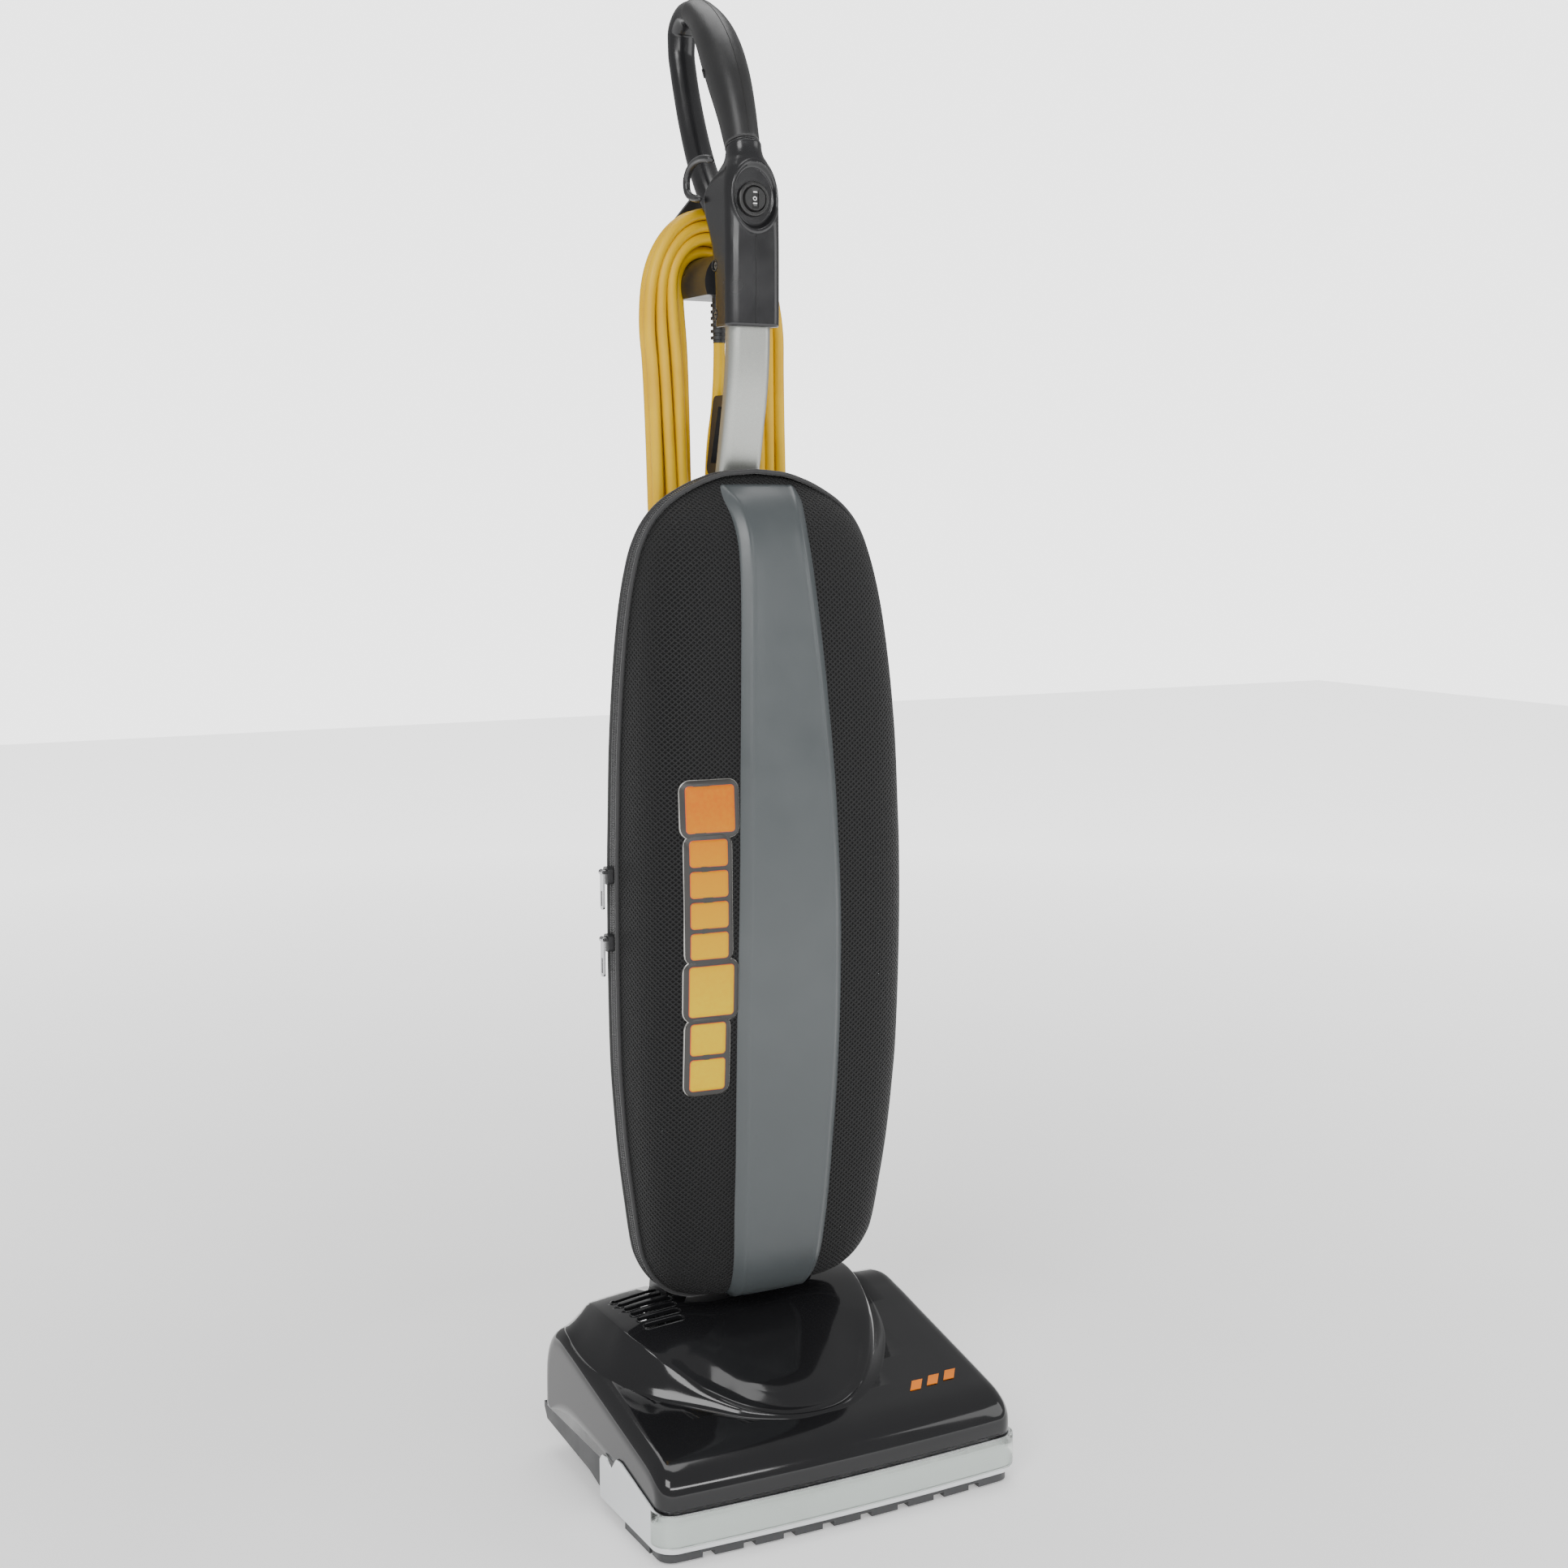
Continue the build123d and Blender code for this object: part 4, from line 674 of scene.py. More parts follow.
# centre line of the raised panel, as (y, z), and its half widths, as (z, x)
SPINE_FRONT = [(13, 143.5), (4, 143.2), (-5, 144.2), (-12, 147), (-19, 153.5), (-25, 163), (-30.5, 177),
               (-34, 192), (-39, 229), (-43, 269), (-47, 309), (-50, 349), (-52, 389), (-53.3, 429), (-54, 469),
               (-53, 509), (-51, 549), (-48.7, 589), (-45, 629), (-41, 669), (-36, 709), (-30.5, 745),
               (-24.5, 768), (-16, 785), (-6, 796.5), (3, 803), (10, 808)]
SPINE_HALF = [(140, 33), (150, 34), (170, 35.6), (189, 36.7), (229, 38.8), (269, 40.2), (309, 41.1), (349, 42),
              (389, 42.3), (429, 42.1), (469, 41.5), (509, 40.6), (549, 39.4), (589, 37.6), (629, 35.5),
              (669, 33.2), (709, 30.5), (745, 28), (768, 27), (785, 28), (797, 31), (804, 33.5), (809, 34.5)]


def step_at(stations, i):
    """Change in y and z across station i."""
    before, after = stations[max(0, i - 1)], stations[min(len(stations) - 1, i + 1)]
    return after[1] - before[1], after[2] - before[2]


def make_spine():
    """Raised centre panel: flat face, rolled lip and bevel down to the mesh on both sides."""
    stations = smooth_line(arc_keys(SPINE_FRONT), 120)
    # across the panel: offset from the mean half width, and height below the face
    section = [(6.0, 10.0), (4.6, 6.4), (3.6, 5.2), (-1.8, 1.3), (-3.2, 0.45), (-4.4, 0.35), (-5.6, 0.7),
               (-8.0, 0.62)]
    rows = []
    for i, (_, y, z) in enumerate(stations):
        along = Vector((0, *step_at(stations, i))).normalized()
        out = Vector((0, -along.z, along.y))
        half = at_line(SPINE_HALF, z)[0]
        row = []
        for side in (-1, 1):
            part = [mm(Vector((side * (half + dx), y, z)) - out * drop) for dx, drop in section]
            for f in (0.6, 0.3):
                part.append(mm(Vector((side * half * f, y, z)) - out * (0.62 - 0.5 * (1 - f * f))))
            row += part if side < 0 else [mm((0, y, z)) - out * 0.12 * MM] + list(reversed(part))
        rows.append(row)
    # closing lips at both ends
    for end, row in ((0, rows[0]), (-1, rows[-1])):
        sink = [p + Vector((0, 6 * MM, 0.5 * MM if end == 0 else -2.5 * MM)) for p in row]
        if end == 0:
            rows.insert(0, sink)
        else:
            rows.append(sink)
    return subdivide(uv_grid("spine_cover", rows), 1)


def ring_strip(name, y0, y1, grow0, grow1, count=420, lift=0.0):
    """Flat tape round the seam between two depths, slightly crowned."""
    rows = []
    for k in range(5):
        t = k / 4
        grow = grow0 + (grow1 - grow0) * t + lift * math.sin(math.pi * t)
        y = y0 + (y1 - y0) * t
        loop = seam_loop(count, grow)
        rows.append([mm((x, y, z)) for x, z in loop + loop[:1]])
    return uv_grid(name, rows)


def piping(name, y, grow, radius):
    """Round piping beside the tape."""
    loop = seam_loop(420, grow)
    return tube_mesh(name, [mm((x, y, z)) for x, z in loop], radius * MM, sides=10, closed=True)


TOOTH_PITCH = 1.9
# a tooth from root to tip: reach from the seam, height over it, half width
TOOTH = ((0.0, 0.1, 0.52), (1.2, 0.75, 0.56), (2.3, 0.8, 0.6), (3.0, 0.1, 0.5))


def make_coil(name, y, lean, phase):
    """Half of the zipper's coil: one small bent tooth after another round the seam."""
    loop = seam_loop(1700, 1.5)
    length = sum(math.dist(a, b) for a, b in zip(loop, loop[1:] + loop[:1]))
    count = int(length / TOOTH_PITCH)
    verts, faces = [], []
    for i in range(count):
        at = (i + phase) / count * len(loop)
        k = int(at) % len(loop)
        x, z = loop[k]
        bx, bz = loop[(k + 1) % len(loop)]
        along = Vector((bx - x, 0, bz - z)).normalized()
        out = Vector((along.z, 0, -along.x))
        base = len(verts)
        for reach, height, wide in TOOTH:
            centre = Vector((x, y - lean * reach, z)) + out * height
            left, right = centre - along * wide, centre + along * wide
            verts += [mm(p) for p in (left, right, right - out * 0.8, left - out * 0.8)]
        for s in range(3):
            for m in range(4):
                a = base + 4 * s + m
                b = base + 4 * s + (m + 1) % 4
                faces.append((a, b, b + 4, a + 4))
        faces.append((base, base + 3, base + 2, base + 1))
        faces.append((base + 12, base + 13, base + 14, base + 15))
    return new_object(name, verts, faces, smooth=False)


# ---------------------------------------------------------------- bag housing: materials
def spacer_mesh(name, hole, pitch_u, pitch_v, color, shine, depth):
    """Knitted spacer mesh: diagonal yarns round diamond holes, in the UV plane; the holes are painted near
    black, the dark backing with painted shade for their depth.
    """
    n = Nodes(name)
    across_u, down_v, _ = n.split("UV")
    wobble = n.span(n.noise(70, 2, kind="UV"), -0.10, 0.10)
    u = n.math("ADD", n.math("MULTIPLY", across_u, math.pi / (pitch_u * MM)), wobble)
    v = n.math("MULTIPLY", down_v, math.pi / (pitch_v * MM))
    one = n.math("ABSOLUTE", n.math("COSINE", n.math("ADD", u, v)))
    two = n.math("ABSOLUTE", n.math("COSINE", n.math("SUBTRACT", u, v)))
    yarn = n.math("MAXIMUM", one, two)
    solid = n.span(yarn, 0, 1, hole, hole + 0.12)
    strand = n.noise(2600, 2, kind="UV")
    lit = n.mix(n.span(strand, 0, 1), tuple(c * 0.65 for c in color), tuple(c * 1.35 for c in color))
    # holes painted near black: the dark backing seen through them, darkened further with painted shade for the
    # depth that the flat sheet lacks
    base = n.mix(solid, (0.0012, 0.0012, 0.0014), lit)
    height = n.math("ADD", n.math("MULTIPLY", yarn, 1.0), n.math("MULTIPLY", strand, 0.18))
    rough = n.span(yarn, shine + 0.25, shine, hole, 1.0)
    return n.finish(base, rough, n.bump(height, 1.0, depth), Sheen_Weight=0.04, Sheen_Roughness=0.4,
                    Specular_IOR_Level=0.22)


def woven_tape(name, color, pitch):
    """Fine twill tape."""
    n = Nodes(name)
    across_u, down_v, _ = n.split("UV")
    u, v = (n.math("MULTIPLY", way, 2 * math.pi / (pitch * MM)) for way in (across_u, down_v))
    twill = n.math("SINE", n.math("ADD", u, v))
    fine = n.noise(3000, 2)
    base = n.mix(n.span(twill, 0, 1, -1, 1), tuple(c * 0.6 for c in color), color)
    height = n.math("ADD", twill, n.math("MULTIPLY", fine, 0.6))
    return n.finish(base, 0.72, n.bump(height, 0.5, 0.0003), Sheen_Weight=0.3, Sheen_Roughness=0.4)


mesh_cloth = spacer_mesh("spacer_mesh", 0.74, 4.9, 4.1, (0.012, 0.012, 0.0125), 0.5, 0.0018)
back_cloth = spacer_mesh("spacer_mesh_back", 0.60, 4.1, 3.5, (0.020, 0.020, 0.0205), 0.5, 0.0008)
tape_cloth = woven_tape("zipper_cloth", (0.022, 0.022, 0.023), 1.1)
piping_cloth = woven_tape("piping_cloth", (0.030, 0.030, 0.031), 1.4)
coil_black = moulded("coil_black", (0.030, 0.030, 0.031), 0.32, grain=0.1, grain_scale=2500)

shell = give(make_shell(), mesh_cloth)
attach(shell, "door")
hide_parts("bag_front_shell")
back = give(make_back(), back_cloth)
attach(back, "handle")
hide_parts("bag_back_shell")
spine = give(make_spine(), spine_grey)
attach(spine, "door")
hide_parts("spine_panel")

# the zipper's two halves: tape from and to, growth of its edges, piping's y
for name, body, tape_at, cordlet_y in (("front", "door", (13.2, 19.8, 1.0, 1.5), 12.4),
                                       ("rear", "handle", (20.2, 27.2, 1.5, 1.0), 28.0)):
    tape = put(ring_strip(f"tape_{name}", *tape_at, lift=0.2), tape_cloth, body)
    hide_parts(f"zipper_tape_{name}")
    put(piping(f"piping_{name}", cordlet_y, 0.9, 1.9), piping_cloth, body)
for name, body, *placing in (("front", "door", 19.2, 1, 0.0), ("rear", "handle", 20.8, -1, 0.5)):
    put(make_coil(f"coil_{name}", *placing), coil_black, body)


# ---------------------------------------------------------------- plaque
# groups of bars down the plaque: centre x, half width of the plate, top, bottom, number of bars
PLAQUE = [(-69, 25.0, 578, 536, 1), (-71.5, 20.5, 536, 437, 4), (-69.5, 23.5, 437, 391, 1),
          (-72, 19.5, 391, 331, 2)]


def rounded_rect(cx, cz, half_x, half_z, radius, steps=5):
    """Corner-rounded outline as (x, z) points."""
    points = []
    for sx, sz, start in ((1, 1, 0), (-1, 1, 90), (-1, -1, 180), (1, -1, 270)):
        points += arc(cx + sx * (half_x - radius), cz + sz * (half_z - radius), radius, start, 90, steps)
    return points


def plate_on_shell(name, outline, lift, thick, rim=0.5):
    """A thin plate with this outline, lying on the mesh and following its curve."""
    cx = sum(p[0] for p in outline) / len(outline)
    cz = sum(p[1] for p in outline) / len(outline)
    rings = []
    for share, height in ((1.0, 0.0), (1.0, thick - rim), (1 - rim / 22, thick), (0.75, thick), (0.5, thick),
                          (0.25, thick), (0.02, thick)):
        ring = []
        for x, z in outline:
            px, pz = cx + (x - cx) * share, cz + (z - cz) * share
            ring.append(mm((px, front_y(px, pz) - lift - height, pz)))
        rings.append(ring)
    return rings_mesh(name, rings, foot=False)


def bar_paint():
    """Orange at the top of the plaque, yellow at its foot."""
    n = Nodes("bar_yellow")
    fade = n.span(n.split()[2], 1, 0, 0.40, 0.56)
    fleck = n.span(n.noise(300, 3), 0, 0.25)
    base = n.mix(fade, (0.52, 0.12, 0.0001), (0.60, 0.40, 0.0003))
    base = n.mix(fleck, base, (0.56, 0.26, 0.0003))
    return n.finish(base, n.span(n.noise(60, 3), 0.4, 0.5), n.bump(n.noise(1500, 2), 0.1, 0.0001),
                    Specular_IOR_Level=0.2)


def make_plaque():
    """Plain plaque: stepped dark plate with a silver rim, and a row of bars on it."""
    bars = bar_paint()
    edge = moulded("bar_edge", (0.62, 0.10, 0.01), 0.35)
    silver = brushed("plaque_rim", (0.40, 0.39, 0.37), 0.3, 2, strength=0.05)
    made = []
    for i, (cx, half, top, bottom, count) in enumerate(PLAQUE):
        cz, tall = (top + bottom) / 2, (top - bottom) / 2
        rim = rounded_rect(cx, cz, half, tall + 2.2, 9)
        plate = rounded_rect(cx, cz, half - 0.6, tall + 1.7, 8.5)
        made.append((plate_on_shell(f"plaque_rim_{i}", rim, 0.2, 1.0), silver))
        made.append((plate_on_shell(f"plaque_plate_{i}", plate, 0.5, 1.1), plaque_grey))
        step = (top - bottom - 2) / count
        for k in range(count):
            z, wide = top - 1 - step * (k + 0.5), half - 5.2
            border = rounded_rect(cx, z, wide + 0.5, step / 2 - 1.6, 3.0)
            bar = rounded_rect(cx, z, wide, step / 2 - 2.1, 2.6)
            made.append((plate_on_shell(f"plaque_edge_{i}_{k}", border, 1.5, 0.5, 0.2), edge))
            made.append((plate_on_shell(f"plaque_bar_{i}_{k}", bar, 1.8, 0.6, 0.2), bars))
    for obj, material in made:
        put(obj, material, "door")
    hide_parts("shell_plaque")


make_plaque()


# ---------------------------------------------------------------- hood
# side profile of the hood at its middle, as (y, z), from the foot of its nose to the foot of its back
HOOD_SIDE = [(-139.4, 41), (-139.8, 47), (-139.2, 54), (-136.6, 61), (-131.5, 67.5), (-124, 72.4),
             (-116, 75.8), (-100, 79.9), (-85, 83.4), (-44, 92.7), (0, 102.6), (38, 111.2), (60, 114.8),
             (76, 112.4), (88, 104.5), (96, 92), (100, 77), (101, 60), (101, 41)]
HOOD_TOP = HOOD_SIDE[3:16]
HOOD_FOOT = 41.0        # height of its lower edge
HOOD_HALF = 158.0
NOSE_Y, NOSE_BOW = -139.0, 5.0
BOW_FROM, BOW_SPAN = -50, 85             # the hood takes up the nose's bow from here forwards
FLANK_FROM, FLANK_SPAN = -120, 202       # its flanks' foot, front to back
HOOD_EDGE = 14.0        # radius of its side edges
YOKE_SLOTS = [((-74, 34, 52), (-46, 112, 160)), ((46, 34, 52), (74, 112, 160))]
PEDAL_SLOT = ((-108, 87, 38), (-78, 112, 52))
# vent slots: from x, to x, y at its left end, slope
VENTS = [(-118 + 1.2 * i, -68 - 1.6 * i, 43.0 - 10.4 * i, 0.17) for i in range(6)]
VENT_WIDTH = 5.4
# foot and crease of the raised motor cover, paired round it from the left rear
COVER_FOOT = [(-146, 72), (-150, 52), (-151, 30), (-149, 8), (-144, -12), (-135, -30), (-118, -51), (-100, -66),
              (-85, -78), (-65, -93), (-42, -104), (-22, -109.6), (2, -110.5), (24, -106), (46, -93), (65, -76),
              (81, -56), (98, -29), (108, -5), (115, 22), (118, 48), (118, 72), (106, 90), (50, 96), (-14, 97),
              (-80, 96), (-134, 90)]
COVER_CREASE = [(-128, 70, 132), (-131, 52, 136), (-133, 30, 137.5), (-132.5, 8, 137), (-130, -13, 134.2),
                (-119.4, -33.5, 125.3), (-108.6, -45.5, 115.4), (-93.8, -61.6, 103.6), (-80.8, -74, 96.4),
                (-62.8, -90, 89.3), (-40.4, -100.8, 84.2), (-22, -105, 82.2), (0, -105.6, 81.6),
                (20.4, -101.8, 83.4), (41.3, -89.6, 88.6), (59, -71.5, 96.8), (73.0, -51, 106.2),
                (87.6, -24, 118.9), (96, 1.7, 128.2),
                (100, 25, 134), (101, 48, 136), (98, 68, 132), (86, 80, 127), (44, 84, 125), (-14, 85, 125),
                (-70, 84, 125), (-116, 80, 127)]
COVER_FRONT = -106      # foremost y of the crease
COVER_SPINE = [(-62, 104), (-40, 113.5), (-20, 121.5), (0, 128.5), (30, 135.6), (50, 137.5), (72, 135)]


def loop_points(keys, count):
    """Evenly indexed points on a closed smooth loop through keys of any dimension."""
    n = len(keys)
    points = []
    for i in range(count):
        at = i / count * n
        k, t = int(at), at - int(at)
        p = [Vector(keys[(k + j) % n]) for j in (-1, 0, 1, 2)]
        points.append(0.5 * (2 * p[1] + (p[2] - p[0]) * t + (2 * p[0] - 5 * p[1] + 4 * p[2] - p[3]) * t * t
                             + (3 * p[1] - p[0] - 3 * p[2] + p[3]) * t**3))
    return points


def hood_z(x, y):
    """Height of the hood's top at (x, y)."""
    z = at_line(HOOD_TOP, min(HOOD_TOP[-1][0], max(HOOD_TOP[0][0], y)))[0]
    over = abs(x) - (HOOD_HALF - HOOD_EDGE)
    if over > 0:
        z -= HOOD_EDGE - math.sqrt(max(0.0, HOOD_EDGE**2 - over**2))
    return z


def boxes_mesh(name, boxes):
    """One mesh of separate boxes, each between two corners in millimetres."""
    verts, faces = [], []
    for low, high in boxes:
        base = len(verts)
        for i in range(8):
            verts.append(mm([(low, high)[i >> k & 1][k] for k in range(3)]))
        for f in ((0, 2, 3, 1), (4, 5, 7, 6), (0, 1, 5, 4), (2, 6, 7, 3), (0, 4, 6, 2), (1, 3, 7, 5)):
            faces.append(tuple(base + i for i in f))
    return new_object(name, verts, faces, smooth=False)


def slot_outline(x0, x1, y, width, lean, grow=0.0, steps=6):
    """Round-ended slot along X as (x, y), leaning towards +Y."""
    radius = width / 2 + grow
    ends = arc(x1 - width / 2, 0, radius, -90, 180, steps) + arc(x0 + width / 2, 0, radius, 90, 180, steps)
    return [(px, y + lean * (px - x0) + dy) for px, dy in ends]


def carve(obj, cutter, thickness=2.4):
    """Give a mesh a wall of this thickness and cut the cutter out of it."""
    for each in (obj, cutter):
        shape = bmesh.new()
        shape.from_mesh(each.data)
        bmesh.ops.triangulate(shape, faces=[face for face in shape.faces if len(face.verts) > 30])
        bmesh.ops.recalc_face_normals(shape, faces=shape.faces)
        upward = sum(face.normal.z * face.calc_area() for face in shape.faces)
        if each is obj and thickness and upward < 0:
            bmesh.ops.reverse_faces(shape, faces=shape.faces)
        shape.to_mesh(each.data)
        shape.free()
    if thickness:
        wall = obj.modifiers.new("wall", "SOLIDIFY")
        wall.thickness = thickness * MM
        wall.offset = -1
    cut = obj.modifiers.new("cut", "BOOLEAN")
    cut.operation = "DIFFERENCE"
    cut.object = cutter
    cut.solver = "EXACT"
    done = bpy.data.meshes.new_from_object(obj.evaluated_get(bpy.context.evaluated_depsgraph_get()))
    obj.modifiers.clear()
    obj.data = done
    bpy.data.objects.remove(cutter)
    return obj


def make_hood_shell():
    """Hood with large rounded edges, built from its side profile."""
    stations = smooth_line(arc_keys(HOOD_SIDE), 110)
    angles = [math.radians(90 - 90 * k / 9) for k in range(10)]
    across = [(HOOD_HALF - HOOD_EDGE + HOOD_EDGE * math.sin(a), HOOD_EDGE * (1 - math.cos(a))) for a in angles]
    flat = [(HOOD_HALF - HOOD_EDGE) * f for f in (0.9, 0.75, 0.5, 0.25, 0)]
    rows = []
    for i, (_, y, z) in enumerate(stations):
        dy, dz = step_at(stations, i)
        size = math.hypot(dy, dz)
        inward = (dz / size, -dy / size)
        front = unit((BOW_FROM - y) / BOW_SPAN)
        # the flank from its foot up, the rounded edge, then the top to the middle
        oy, oz = y + inward[0] * HOOD_EDGE, max(HOOD_FOOT, z + inward[1] * HOOD_EDGE)
        foot_y = FLANK_FROM + FLANK_SPAN * i / (len(stations) - 1)
        half_row = []
        for t in (1.0, 0.7, 0.35, 0.08):
            half_row.append((HOOD_HALF, oy + (foot_y - oy) * t, oz + (HOOD_FOOT - oz) * t))
        for x, drop in across:
            half_row.append((x, y + inward[0] * drop, max(HOOD_FOOT, z + inward[1] * drop)))
        half_row += [(x, y, z) for x in flat]
        row = []
        for side in (-1, 1):
            part = []
            for x, py, pz in half_row:
                part.append(mm((side * x, py - NOSE_BOW * front * (1 - (x / HOOD_HALF)**2), pz)))
            row += part if side < 0 else list(reversed(part[:-1]))
        rows.append(row)
    hood = uv_grid("hood_shell", rows)
    carve(hood, boxes_mesh("cut_hood", [*YOKE_SLOTS, PEDAL_SLOT]))
    # open under the motor cover, a little inside its foot
    rings = []
    for z in (48, 160):
        rings.append([mm((p.x * 0.95 - 0.5, p.y * 0.94 - 1, z)) for p in loop_points(COVER_FOOT, 60)])
    return carve(hood, rings_mesh("cut_top", rings), thickness=0)


def cover_column(f, k):
    """Points of the cover over a point of its foot and of its crease: up the outside, then down the inside."""
    up = Vector((0, 0, 1))
    front, back = COVER_SPINE[0][0], COVER_SPINE[-1][0]
    base = Vector((f.x, f.y, hood_z(f.x, f.y)))
    out = Vector((f.x - k.x, f.y - k.y, 0)).normalized()
    yc = front + (min(back, k.y) - COVER_FRONT) * (back - front) / (back - COVER_FRONT)
    centre = Vector((-15 + 0.15 * (k.x + 15), yc, at_line(COVER_SPINE, yc)[0]))
    inward = (centre - k).normalized()
    wall = k - base
    # foot flange, wall and crease, then the roof to its spine
    outside = [base + out * 3.2 - up * 2.4, base + out * 2.2 - up * 0.1, base + out * 0.9 + up * 0.45,
               base + wall * 0.06 + up * 0.5, base + wall * 0.30 - out * 0.5, base + wall * 0.62 - out * 0.4,
               base + wall * 0.9, k - up * 1.1 + out * 0.15, k - up * 0.35 + inward * 0.25, k + inward * 1.2]
    ledge = 2.2 * unit((-25 - k.y) / 35)
    for share in (0.05, 0.1, 0.18, 0.3, 0.45, 0.62, 0.8, 0.94):
        p = k.lerp(centre, share)
        p.z += 3.0 * math.sin(math.pi * share) - ledge * math.exp(-((share - 0.16) / 0.08)**2)
        outside.append(p)
    inside = [p - up * 2.6 for p in reversed(outside[-7:])]
    inside += [base.lerp(k, 0.75) - out * 4.2 - up, base - out * 4.2 - up * 2.4]
    return outside, inside


def make_motor_cover():
    """Raised cover: concave foot, leaning wall, crisp crease and domed roof with vent slots."""
    count = 216
    rings = []
    for f, k in zip(loop_points(COVER_FOOT, count), loop_points(COVER_CREASE, count)):
        outside, inside = cover_column(f, k)
        outer = len(outside)
        rings.append(outside + inside)
    depth = len(rings[0])
    verts = [p * MM for column in rings for p in column]
    faces = []
    for i in range(count):
        m = (i + 1) % count
        for j in range(depth):
            n = (j + 1) % depth
            if j != outer - 1:
                faces.append((i * depth + j, m * depth + j, m * depth + n, i * depth + n))
    faces.append(tuple(i * depth + outer - 1 for i in range(count)))
    faces.append(tuple(i * depth + outer for i in reversed(range(count))))
    cover = new_object("motor_cover", verts, faces)
    verts, faces = [], []
    for x0, x1, y, lean in VENTS:
        outline = slot_outline(x0, x1, y, VENT_WIDTH, lean)
        base, n = len(verts), len(outline)
        verts += [mm((px, py, z)) for z in (112, 150) for px, py in outline]
        faces += [(base + k, base + (k + 1) % n, base + n + (k + 1) % n, base + n + k) for k in range(n)]
        faces += [tuple(base + k for k in reversed(range(n))), tuple(base + n + k for k in range(n))]
    carve(cover, new_object("cut_vents", verts, faces, smooth=False), thickness=0)
    return carve(cover, boxes_mesh("cut_cover", YOKE_SLOTS), thickness=0)


def cover_z(cover, x, y):
    """Height of the motor cover's outside at (x, y)."""
    hit, place, _, _ = cover.ray_cast(Vector((x * MM, y * MM, 0.3)), Vector((0, 0, -1)))
    return place.z / MM if hit else hood_z(x, y)


hood = give(make_hood_shell(), hood_black)
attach(hood, "base")
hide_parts("top_hood")
cover = make_motor_cover()
bpy.context.view_layer.update()
rims = []
for n, (x0, x1, y, lean) in enumerate(VENTS):
    outline = slot_outline(x0, x1, y, VENT_WIDTH, lean, grow=1.1, steps=8)
    points = [mm((px, py, cover_z(cover, px, py) + 0.1)) for px, py in outline]
    rims.append(tube_mesh(f"vent_rim_{n}", points, 0.75 * MM, sides=8, closed=True))
for piece in (cover, *rims):
    put(piece, hood_black, "base")


# ---------------------------------------------------------------- handle: housing, loop and grip
# switch housing: height, half width, front y, back y, corner radius
HOUSING_RINGS = [(930, 22.6, 11.2, 39.5, 7), (931.4, 23.4, 10.2, 40.2, 8), (945, 23.5, 10, 40.5, 8),
                 (960, 23.5, 10, 41, 8), (990, 23.5, 10, 46, 8), (1005, 23.5, 10, 52.5, 8.5),
                 (1020, 23.5, 10, 60, 9), (1032, 23.4, 10, 63, 10), (1042, 22.4, 10.6, 58, 11),
                 (1049, 20.4, 12.2, 53, 12), (1055, 17.6, 14.8, 48.5, 12.5), (1060, 15.4, 17.2, 45.8, 12.5),
                 (1066, 14.3, 18.4, 44.6, 12.5), (1070, 14.0, 18.8, 44.2, 12.5), (1071.2, 13.2, 19.4, 43.6, 12)]
RECESS_X, RECESS_Z, RECESS_HALF_X, RECESS_HALF_Z, RECESS_DEEP = 0.5, 1030.5, 19.8, 26.0, 5.8
HOUSING_FRONT = 10
SCREW_Y, SCREW_HEIGHTS = 36.5, (940.0, 978.0)
SINK_RADIUS, SINK_DEEP = 4.4, 2.6        # hollow round each screw's head


def rounded_outline(half, deep, radius, count):
    """Evenly spaced (x, y) points round a rectangle with rounded corners, its middle at the origin."""
    outline = []
    perimeter = 4 * (half - radius) + 4 * (deep - radius) + 2 * math.pi * radius
    wide, tall = half - radius, deep - radius
    sides = []
    # each straight side with its start and way, then the corner after it with its centre and first angle
    for length, start, way, centre, angle in ((2 * wide, (-wide, -deep), (1, 0), (wide, -tall), -90),
                                              (2 * tall, (half, -tall), (0, 1), (wide, tall), 0),
                                              (2 * wide, (wide, deep), (-1, 0), (-wide, tall), 90),
                                              (2 * tall, (-half, tall), (0, -1), (-wide, -tall), 180)):
        sides += [("line", length, start, way), ("arc", math.pi * radius / 2, centre, angle)]
    for i in range(count):
        at = perimeter * i / count
        for kind, length, start, way in sides:
            if at <= length:
                break
            at -= length
        if kind == "line":
            outline.append((start[0] + way[0] * at, start[1] + way[1] * at))
        else:
            angle = math.radians(way) + at / radius
            outline.append((start[0] + radius * math.cos(angle), start[1] + radius * math.sin(angle)))
    return outline


def housing_ring(z, half, front, back, radius, count=200):
    """The housing's outline at one height, leaning with the grip near the top, with its hollows pressed in."""
    cy, deep = (front + back) / 2, (back - front) / 2
    lean = 0.32 * unit((z - 1040) / 22)
    ring = []
    for x, dy in rounded_outline(half, deep, min(radius, half - 0.5, deep - 0.5), count):
        y = cy + dy
        pz = z - lean * (y - 31)
        if y < 24:
            share = math.hypot((x - RECESS_X) / RECESS_HALF_X, (pz - RECESS_Z) / RECESS_HALF_Z)
            inside = unit((1.0 - share) / 0.13)
            smooth = inside * inside * (3 - 2 * inside)
            floor = HOUSING_FRONT + RECESS_DEEP
            if smooth and y < floor:
                y += (floor - y) * smooth
            y -= 0.9 * math.exp(-((share - 1.045) / 0.035)**2)
        if x < -half + 1.5:
            for sz in SCREW_HEIGHTS:
                far = math.hypot(y - SCREW_Y, pz - sz)
                if far < SINK_RADIUS:
                    sink = min(1.0, (SINK_RADIUS - far) / 0.9)
                    x += SINK_DEEP * sink * sink * (3 - 2 * sink)
        ring.append(mm((x, y, pz)))
    return ring


